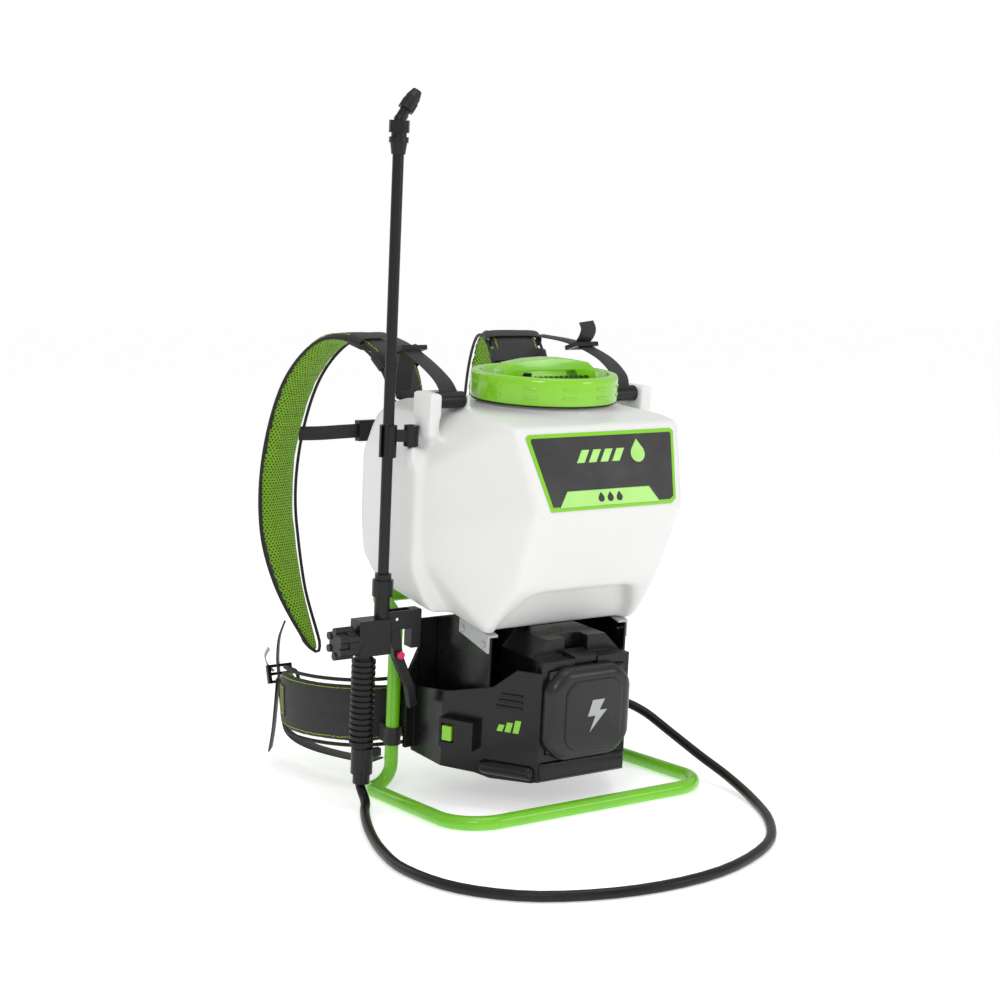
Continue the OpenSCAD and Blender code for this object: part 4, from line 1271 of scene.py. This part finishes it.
@dataclass
class BatteryPack:
    """The clip-in battery: chamfered case, raised front pad and blank badge."""

    half: float = 58.0
    front: float = 96.0
    back: float = 24.0
    low: float = 84.0
    height: float = 108.0

    def build(self) -> None:
        """Builds the pack's body, its broad rounded face, the raised pad on it and the badge."""
        place = STANCE.matrix()
        top = self.low + self.height
        bm = bmesh.new()
        add_block(
            bm, (-self.half, -self.front + 8, self.low), (self.half, -self.back, top), place, 3.0, 3
        )
        self.face(
            bm,
            place,
            (-65, 65),
            (self.low - 9, top + 4),
            (-self.front - 6, -self.front + 11.5),
            22,
            14,
        )
        self.face(
            bm,
            place,
            (-42, 46),
            (self.low + 6, top - 12),
            (-self.front - 8.5, -self.front - 4),
            13,
            2.6,
        )
        case = settle(
            bm, "battery_case", Body.BATTERY, ["battery"], angle=math.radians(50)
        )
        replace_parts(case, "battery_pack")
        bm = bmesh.new()
        mark = [(-6, 26), (13, 26), (5, 12), (17, 12), (-9, -16), (-1, 5), (-13, 5)]
        add_prism(bm, mark, 0.6, self.badge_place(place, 4, self.low + 44, 8.55), 0.2, 1)
        settle(bm, "battery_badge", Body.BATTERY, ["plate"])

    @staticmethod
    def face(
        bm: bmesh.types.BMesh,
        place: Matrix,
        xs: Pair,
        zs: Pair,
        ys: Pair,
        corner: float,
        round_over: float,
    ) -> None:
        """Adds a plate with clipped corners and a rounded front edge.

        Args:
            bm: the shape to add to.
            place: matrix from leaning millimetres to row metres.
            xs: left and right.
            zs: bottom and top.
            ys: front and back.
            corner: how far each corner is clipped.
            round_over: radius of the front edge.
        """
        (x0, x1), (z0, z1), c = xs, zs, corner
        outline = [
            (x0 + c, z0), (x1 - c, z0), (x1, z0 + c), (x1, z1 - c), (x1 - c, z1), (x0 + c, z1),
            (x0, z1 - c), (x0, z0 + c),
        ]
        turn = place @ Matrix.Translation((0, ys[1], 0)) @ Matrix.Rotation(math.pi / 2, 4, "X")
        made = add_prism(bm, outline, ys[1] - ys[0], Matrix.Identity(4))
        depth = ys[1] - ys[0]
        uprights = {
            e
            for v in made
            for e in v.link_edges
            if abs(e.verts[0].co.z - e.verts[1].co.z) > depth / 2
        }
        made = bevel(bm, list(uprights), c * 0.45, 4)
        front = {
            e
            for v in made
            for e in v.link_edges
            if all(w.co.z > depth - 0.01 for w in e.verts) and len(e.link_faces) == 2
        }
        rim = [e for e in front if e.calc_face_angle(0) > 0.5]
        made = bevel(bm, rim, round_over, 5)
        bmesh.ops.transform(bm, matrix=turn, verts=made)

    def badge_place(self, place: Matrix, x: float, z: float, proud: float) -> Matrix:
        """Returns the matrix that stands a flat badge on the front face, proud of the drawn one."""
        upright = Matrix.Rotation(math.pi / 2, 4, "X")
        return place @ Matrix.Translation((x, -self.front - proud, z)) @ upright


# ---------- housing trim ----------


@dataclass
class HousingTrim:
    """Mouldings on the drawn housing: corner hump, lower hump, vents and badge."""

    def build(self) -> None:
        """Builds the pieces, all on the housing."""
        place = STANCE.matrix()
        slant = Matrix.Rotation(math.radians(-55.5), 4, "Z")
        wall = place @ Matrix.Translation((-90, -52, 0)) @ slant
        bm = bmesh.new()
        for k in range(3):
            add_block(bm, (-21 + 3 * k, -2.2, 138 + 8 * k), (15, 1.5, 142.5 + 8 * k), wall, 1.4, 2)
        settle(bm, "housing_vents", Body.CARRIER, ["black"])
        bm = bmesh.new()
        stand = Matrix.Rotation(math.pi / 2, 4, "X")
        for k, x in enumerate((-19, -8, 3)):
            mark = [(x, 0), (x + 8, 0), (x + 11, 9 + 4 * k), (x + 3, 9 + 4 * k)]
            add_prism(bm, mark, 0.6, wall @ Matrix.Translation((0, 0.2, 108)) @ stand, 0.15, 1)
        settle(bm, "housing_mark", Body.CARRIER, ["cap"])
        bm = bmesh.new()
        add_block(bm, (-40, -8, 50), (34, 6, 68), wall, 7.5, 5)
        add_block(bm, (-67, -88, 49), (67, -78, 74), place, 4.5, 4)
        settle(bm, "housing_hump", Body.CARRIER, ["shell"], angle=math.radians(50))


# ---------- harness ----------


@dataclass
class Band:
    """A run of padded band: a centre line with a sideways direction at each point."""

    run: list[Vector]
    across: list[Vector]
    width: float
    thickness: float
    taper: Callable[[float], float]

    def frames(self, lift: float = 0.0) -> list[Matrix]:
        """Returns the frames along the band, optionally lifted towards the wearer."""
        out = stations(self.run, lambda i: self.across[i])
        if lift:
            out = [m @ Matrix.Translation((0, lift, 0)) for m in out]
        return out

    def section(self, share: float, grown: float) -> tuple[float, float]:
        """Returns the width and thickness at a share of the length."""
        return self.width * self.taper(share) * grown, self.thickness * grown


class Harness:
    """Padded shoulder straps, hip belt and webbing."""

    pad_line: tuple[Pair, ...] = (
        (0, 508), (20, 560), (68, 592), (130, 590), (190, 535), (228, 440), (238, 340),
        (216, 240), (168, 152),
    )
    anchor: Pair = (92, 176)
    splay: float = math.radians(21)
    belt_half: tuple[Pair, ...] = (
        (0, 136), (70, 136), (140, 138), (190, 154), (222, 200), (232, 256), (216, 306), (184, 326),
    )
    belt_low: float = 58.0
    belt_height: float = 88.0
    belt_thickness: float = 12.0
    pad_width: float = 76.0
    pad_thickness: float = 13.0

    def pad_band(self) -> Band:
        """Returns the right shoulder pad's band."""
        ax, ay = self.anchor
        out = Vector((math.sin(self.splay), math.cos(self.splay), 0))
        pts = [STANCE.floor(ax + s * out.x, ay + s * out.y, z) for s, z in self.pad_line]
        run = smooth_run(pts, 10)
        side = Vector((math.cos(self.splay), -math.sin(self.splay), 0))

        def taper(t: float) -> float:
            """Returns the width share: a little less at the top, then narrow to the lower tip."""
            return 0.80 + 0.20 * min(1.0, t / 0.12) if t < 0.12 else 1.0 - 0.78 * max(
                0.0, (t - 0.78) / 0.22
            ) ** 1.5

        return Band(run, [side] * len(run), self.pad_width * MM, self.pad_thickness * MM, taper)

    def belt_band(self) -> Band:
        """Returns the hip belt's band, from the right tip to the left."""
        half = list(self.belt_half)
        line = [(x, y) for x, y in reversed(half)] + [(-x, y) for x, y in half[1:]]
        z = self.belt_low + self.belt_height / 2
        run = smooth_run([STANCE.floor(x, y, z) for x, y in line], 7)

        def taper(t: float) -> float:
            """Returns the width share, which falls at both tips of the belt."""
            edge = min(t, 1 - t)
            return 0.55 + 0.45 * math.sin(min(1.0, edge / 0.13) * math.pi / 2)

        upright = [Vector((0, 0, 1))] * len(run)
        return Band(run, upright, self.belt_height * MM, self.belt_thickness * MM, taper)

    def stuffed(self, band: Band, name: str) -> bpy.types.Object:
        """Makes a padded band: a slightly small closed form, blown up as cloth, then evened out.

        Args:
            band: the band to fill.
            name: the piece's name.

        Returns:
            The work object, in row metres, with its cloth settled.
        """
        frames = band.frames()
        count = len(frames)
        bm = bmesh.new()
        rings = []
        for i, place in enumerate(frames):
            t = i / (count - 1)
            w, h = band.section(t, 0.94)
            end = min(1.0, min(t, 1 - t) * count / 2.5 + 0.45)
            rings.append(
                [bm.verts.new(place @ Vector((a * end, b * (0.5 + 0.5 * end), 0)))
                for a, b in crowned_section(w, h * 0.92)]
            )
        for one, two in zip(rings, rings[1:]):
            for k in range(len(one)):
                bm.faces.new((one[k], one[(k + 1) % len(one)], two[(k + 1) % len(one)], two[k]))
        bm.faces.new(rings[0])
        bm.faces.new(rings[-1])
        bmesh.ops.recalc_face_normals(bm, faces=bm.faces)
        mesh = bpy.data.meshes.new(name)
        bm.to_mesh(mesh)
        bm.free()
        obj = bpy.data.objects.new(name, mesh)
        bpy.context.scene.collection.objects.link(obj)
        remesh = obj.modifiers.new("even", "REMESH")
        remesh.mode, remesh.voxel_size = "VOXEL", 0.0045
        self.apply(obj)
        rest = [v.co.copy() for v in obj.data.vertices]
        cloth = obj.modifiers.new("stuffing", "CLOTH")
        cloth.settings.quality = 6
        cloth.settings.tension_stiffness = 22
        cloth.settings.compression_stiffness = 14
        cloth.settings.bending_stiffness = 0.6
        cloth.settings.use_pressure = True
        cloth.settings.uniform_pressure_force = 3.5
        cloth.settings.effector_weights.gravity = 0
        for step in range(1, 15):
            bpy.context.scene.frame_set(step)
        self.apply(obj)
        bpy.context.scene.frame_set(1)
        for v, start in zip(obj.data.vertices, rest):
            move = v.co - start
            if move.length > 0.004:
                v.co = start + move * (0.004 / move.length)
        return obj

    @staticmethod
    def apply(obj: bpy.types.Object) -> None:
        """Bakes an object's modifiers into its mesh."""
        graph = bpy.context.evaluated_depsgraph_get()
        made = bpy.data.meshes.new_from_object(obj.evaluated_get(graph))
        obj.modifiers.clear()
        obj.data = made

    def finish_pad(
        self, obj: bpy.types.Object, band: Band, node: str, paints: tuple[str, str]
    ) -> None:
        """Subdivides a stuffed band, gives it cloth and lining, and puts it in its node's place."""
        bm = bmesh.new()
        bm.from_mesh(obj.data)
        smooth = bm.verts
        for _ in range(3):
            bmesh.ops.smooth_vert(
                bm, verts=smooth, factor=0.5, use_axis_x=True, use_axis_y=True, use_axis_z=True
            )
        bmesh.ops.recalc_face_normals(bm, faces=bm.faces)
        lay = bm.verts.layers.float_vector.new("lay")
        frames = band.frames()
        centres = np.array([m.translation for m in frames])
        runs = np.concatenate([[0.0], np.cumsum(np.linalg.norm(np.diff(centres, axis=0), axis=1))])
        inverse = [m.inverted() for m in frames]
        nearest = {}
        for v in bm.verts:
            i = int(np.argmin(((centres - np.array(v.co)) ** 2).sum(1)))
            local = inverse[i] @ v.co
            nearest[v.index] = i
            v[lay] = (runs[i] + local.z, local.x, 0.0)
        for f in bm.faces:
            i = nearest[f.verts[0].index]
            place = inverse[i]
            through = f.normal.dot(frames[i].col[1].xyz)
            mid = place @ f.calc_center_median()
            t = i / (len(frames) - 1)
            f.material_index = 1 if through > 0.30 and abs(mid.x) < band.section(
                t, 1.0
            )[0] / 2 - 0.0045 else 0
            f.smooth = True
        mesh = bpy.data.meshes.new(obj.name)
        bm.to_mesh(mesh)
        bm.free()
        obj.data = mesh
        for key in paints:
            mesh.materials.append(PAINTS.get(key))
        even = obj.modifiers.new("round", "SUBSURF")
        even.levels = even.render_levels = 1
        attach(obj, Body.CARRIER.value)
        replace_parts(obj, node)
        LOG.info("padded %s: %d faces", obj.name, len(mesh.polygons))

    def edge_tube(self, band: Band, name: str, lift: float = 0.0015, radius: float = 2.2) -> None:
        """Adds the piping round a band's edge."""
        frames = band.frames(lift)
        count = len(frames)
        loop = []
        for sign, order in ((1, range(count)), (-1, range(count - 1, -1, -1))):
            for i in order:
                t = i / (count - 1)
                end = min(1.0, min(t, 1 - t) * count / 2.5 + 0.45)
                loop.append(frames[i] @ Vector((sign * band.section(t, 1.0)[0] / 2 * end, 0, 0)))
        closed = smooth_run([*loop, loop[0]], 1)
        bm = bmesh.new()
        normal = [m.col[1].xyz for m in frames]
        normals = [*normal, *reversed(normal), normal[0]]
        add_sweep(
            bm,
            round_section(radius * MM),
            stations(closed, lambda i: normals[min(i, len(normals) - 1)]),
        )
        settle(bm, name, Body.CARRIER, ["piping"])

    def stitches(
        self,
        bm: bmesh.types.BMesh,
        band: Band,
        tree: BVHTree,
        offset: float,
        first: float,
        last: float,
    ) -> None:
        """Adds a row of thread dashes on the outer face of a band.

        Args:
            bm: the shape to add to.
            band: the band.
            tree: the stuffed band's surface.
            offset: metres in from the edge, negative for the other edge.
            first: share of the length where the row starts.
            last: share where it ends.
        """
        frames = band.frames()
        count = len(frames)
        line = []
        for i in range(int(first * (count - 1)), int(last * (count - 1)) + 1):
            half = band.section(i / (count - 1), 1.0)[0] / 2
            x = half - offset if offset > 0 else -half - offset
            line.append(frames[i] @ Vector((x, -0.02, 0)))
        aims = [f.col[1].xyz for f in frames]
        self.dashes(bm, line, aims[len(aims) // 2], tree)

    @staticmethod
    def dashes(
        bm: bmesh.types.BMesh,
        line: Sequence[Vector],
        normal: Vector,
        tree: Optional[BVHTree] = None,
        pitch: float = 0.0042,
    ) -> None:
        """Adds thread dashes along a line of points, dropped on to the nearest surface."""
        marks, carried = [], 0.0
        for a, b in zip(line, line[1:]):
            step = (b - a).length
            while carried < step:
                marks.append((a.lerp(b, carried / step), (b - a).normalized()))
                carried += pitch
            carried -= step
        for centre, way in marks:
            up = normal
            if tree:
                hit, up, _, _ = tree.find_nearest(centre)
                centre = hit + up * 0.0002
            side = way.cross(up).normalized()
            turn = Matrix((way, side, way.cross(side))).transposed().to_4x4()
            made = bmesh.ops.create_cube(bm, size=1.0)["verts"]
            size = Matrix.Diagonal((0.0029, 0.0009, 0.0009, 1))
            bmesh.ops.transform(bm, matrix=Matrix.Translation(centre) @ turn @ size, verts=made)

    def ribbon(
        self,
        bm: bmesh.types.BMesh,
        pts: Sequence[Triple],
        width: float = 25,
        thickness: float = 2,
        side: Triple = (1, 0, 0),
        mirror: bool = False,
    ) -> None:
        """Adds a strap of flat webbing through drawing points.

        Args:
            bm: the shape to add to.
            pts: points in upright drawing millimetres.
            width: strap width in millimetres.
            thickness: strap thickness in millimetres.
            side: sideways direction of the strap.
            mirror: whether to lay it on the left.
        """
        sign = -1 if mirror else 1
        run = smooth_run([STANCE.floor(sign * x, y, z) for x, y, z in pts], 8)
        across = Vector((sign * side[0], side[1], side[2]))
        add_sweep(bm, flat_section(width * MM, thickness * MM), stations(run, lambda i: across))


    def strap_over(
        self,
        bm: bmesh.types.BMesh,
        band: Band,
        share: float,
        width: float,
        proud: float,
        wrap: float = 2.0,
    ) -> None:
        """Adds a keeper strap that goes round a band at a share of its length."""
        frames = band.frames()
        i = int(share * (len(frames) - 1))
        w, h = band.section(share, 1.0)
        hw, hh = w / 2 + wrap * MM, h / 2 + proud * MM
        place = frames[i]
        loop = [
            (-hw, 0), (-hw * 0.86, -hh), (0, -hh - 0.001), (hw * 0.86, -hh), (hw, 0),
            (hw * 0.86, hh), (0, hh), (-hw * 0.86, hh), (-hw, 0),
        ]
        run = smooth_run([place @ Vector((a, b, 0)) for a, b in loop], 5)
        along = place.col[2].xyz
        add_sweep(bm, flat_section(width * MM, 1.8 * MM), stations(run, lambda k: along))

    def mirrored(self, band: Band) -> Band:
        """Returns the band's mirror image on the other side of the sprayer."""
        c = STANCE.centre_x * MM
        run = [Vector((2 * c - p.x, p.y, p.z)) for p in band.run]
        across = [Vector((a.x, -a.y, -a.z)) for a in band.across]
        return Band(run, across, band.width, band.thickness, band.taper)

    def pads(self) -> None:
        """Builds both shoulder pads: the right one is stuffed, and the left one mirrors it."""
        right = self.pad_band()
        work = self.stuffed(right, "right_shoulder_pad")
        other = bpy.data.objects.new("left_shoulder_pad", work.data.copy())
        bpy.context.scene.collection.objects.link(other)
        c = STANCE.centre_x * MM
        for v in other.data.vertices:
            v.co.x = 2 * c - v.co.x
        other.data.flip_normals()
        stitching = bmesh.new()
        for obj, band, node in (
            (work, right, "right_pad"), (other, self.mirrored(right), "left_pad")
        ):
            tree = BVHTree.FromPolygons(
                [v.co for v in obj.data.vertices], [p.vertices for p in obj.data.polygons]
            )
            self.finish_pad(obj, band, node, ("cloth", "lining"))
            self.edge_tube(band, obj.name + "_piping")
            for offset in (0.007, -0.007):
                self.stitches(stitching, band, tree, offset, 0.05, 0.93)
            bm = bmesh.new()
            for share in (0.14, 0.24):
                self.strap_over(bm, band, share, 22, 0.6)
            settle(bm, obj.name + "_keepers", Body.CARRIER, ["webbing"])
        settle(stitching, "pad_stitches", Body.CARRIER, ["stitch"])

    def belt(self) -> None:
        """Builds the hip belt with its piping, edge stitching and patches."""
        band = self.belt_band()
        obj = self.stuffed(band, "hip_belt_pad")
        tree = BVHTree.FromPolygons(
            [v.co for v in obj.data.vertices], [p.vertices for p in obj.data.polygons]
        )
        self.finish_pad(obj, band, "hip_belt", ("cloth", "lining"))
        self.edge_tube(band, "hip_belt_piping", 0.0, 2.6)
        bm = bmesh.new()
        for offset in (0.008, -0.008):
            self.stitches(bm, band, tree, offset, 0.03, 0.97)
        patches = bmesh.new()
        frames = band.frames()
        for share in (0.105, 0.895):
            place = frames[int(share * (len(frames) - 1))]
            hit, up, _, _ = tree.find_nearest(place @ Vector((0, -0.03, 0)))
            along = place.col[2].xyz
            along = (along - along.dot(up) * up).normalized()
            axes = Matrix((along, up.cross(along), up)).transposed().to_4x4()
            turn = Matrix.Translation(hit) @ axes
            add_block(patches, (-11, -21, -2.5), (11, 21, 1.2), turn @ Matrix.Scale(MM, 4), 0.6, 2)
            box = [(-8, -18), (8, -18), (8, 18), (-8, 18), (-8, -18), (8, 18), (8, -18), (-8, 18)]
            for a, b in zip(box, box[1:]):
                self.dashes(bm, [turn @ (Vector((*end, 1.35)) * MM) for end in (a, b)], up)
        settle(patches, "belt_patches", Body.CARRIER, ["webbing"])
        settle(bm, "belt_stitches", Body.CARRIER, ["stitch"])

    def straps(self) -> None:
        """Builds every run of flat webbing, its folded ends and the pull tabs."""
        plain, tabs = bmesh.new(), bmesh.new()
        lifters, lowers = bmesh.new(), bmesh.new()
        for mirror in (False, True):
            self.ribbon(
                lifters,
                [(136, 8, 530), (140, 20, 548), (142, 60, 570), (136, 120, 588), (122, 180, 596)],
                mirror=mirror,
            )
            self.ribbon(lowers, LOWER_WEB, side=(-0.56, 0.83, 0), mirror=mirror)
            self.ribbon(lowers, WEB_TAIL, side=(-0.62, 0.78, 0), mirror=mirror)
            self.ribbon(
                tabs,
                [(212, 348, 128), (219, 354, 138), (221, 356, 150), (216, 354, 160)],
                22,
                1.6,
                (-0.4, 0.9, 0),
                mirror,
            )
        self.ribbon(
            plain, [(138, 104, 587), (134, 112, 572), (131, 124, 552), (130, 132, 528)], mirror=True
        )
        self.ribbon(plain, [(138, 98, 588), (140, 92, 596), (142, 90, 606), (141, 94, 616)])
        settle(plain, "lifter_tails", Body.CARRIER, ["webbing"])
        settle(tabs, "pull_tabs", Body.CARRIER, ["silver_tab"])
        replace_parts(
            settle(lifters, "lifter_straps", Body.CARRIER, ["webbing"]),
            "lifter_webbing",
        )
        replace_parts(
            settle(lowers, "lower_straps", Body.CARRIER, ["webbing"]), "lower_webbing"
        )
        chest = bmesh.new()
        up = (0, 0, 1)
        self.ribbon(
            chest,
            [(143, 394.5, 456), (110, 395.5, 455), (78, 395, 455.5), (46, 394.5, 456)],
            20,
            2.2,
            up,
        )
        self.ribbon(
            chest,
            [(143, 394.5, 456), (110, 395.5, 455), (78, 395, 455.5), (46, 394.5, 456)],
            20,
            2.2,
            up,
            mirror=True,
        )
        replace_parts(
            settle(chest, "chest_strap", Body.CARRIER, ["webbing"]), "sternum_strap"
        )

    def build(self) -> None:
        """Builds the whole harness."""
        self.pads()
        self.belt()
        self.straps()


LOWER_WEB = (
    (188, 358, 196), (197, 358, 174), (206, 347, 148), (208, 340, 124), (208, 335, 88),
    (207, 329, 60),
    (205, 306, 44), (202, 250, 38), (188, 176, 38), (176, 126, 42),
)
WEB_TAIL = ((208, 343, 120), (210, 346, 84), (213, 349, 46), (216, 354, 16))

# ---------- the whole sprayer ----------

DRESSING = {
    "powder": ("base_loop", "back_frame"),
    "steel": (
        "frame_bolts", "bracket_screws", "housing_screws", "latch_pin", "trigger_pin",
        "pump_motor", "valve_spring",
    ),
    "plate_grey": ("tank_brackets",),
    "black": (
        "lug_rollers", "strap_anchors", "wand_clip", "tank_outlet", "outlet_elbow", "outlet_nut",
        "switch_box", "gun_body", "lance_nut", "lance_tube", "lance_collar", "nozzle_elbow",
        "grip_nut", "ladder_locks", "sternum_buckle",
    ),
    "shell": ("housing",),
    "dark": (
        "neck_strainer", "cap_vent", "lower_cover", "pump_head", "battery_latch", "filter_knob",
        "trigger", "nozzle_cap",
    ),
    "rubber": ("gun_grip", "cap_gasket"),
    "smoke": ("drip_skirt", "suction_hose"),
    "cap": ("power_button",),
    "red": ("trigger_lock", "guard_studs"),
    "brass": ("battery_terminals", "valve_stem", "gun_filter"),
    "board": ("circuit_board",),
    "cell": ("battery_cells",),
    "webbing": ("belt_loops",),
}


def main() -> None:
    """Builds the studio, the hose, every soft and moulded piece, and finishes the drawn ones."""
    logging.basicConfig(level=logging.INFO, format="%(name)s %(message)s")
    studio = Studio()
    studio.camera()
    SprayHose().build()
    studio.floor()
    studio.light()
    Tank().build()
    Cap().build()
    BatteryPack().build()
    HousingTrim().build()
    Harness().build()
    for paint, nodes in DRESSING.items():
        dress(nodes, paint)
    soften_edges()
    LOG.info("sprayer finished")


def soften_edges() -> None:
    """Smooths the shading of the drawn nodes whose curves come as facets."""
    for name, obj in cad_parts.items():
        if obj.type == "MESH" and name not in TANK_NODES:
            obj.data.shade_smooth()
            obj.data.set_sharp_from_angle(angle=math.radians(30))


if __name__ == "__main__":
    main()
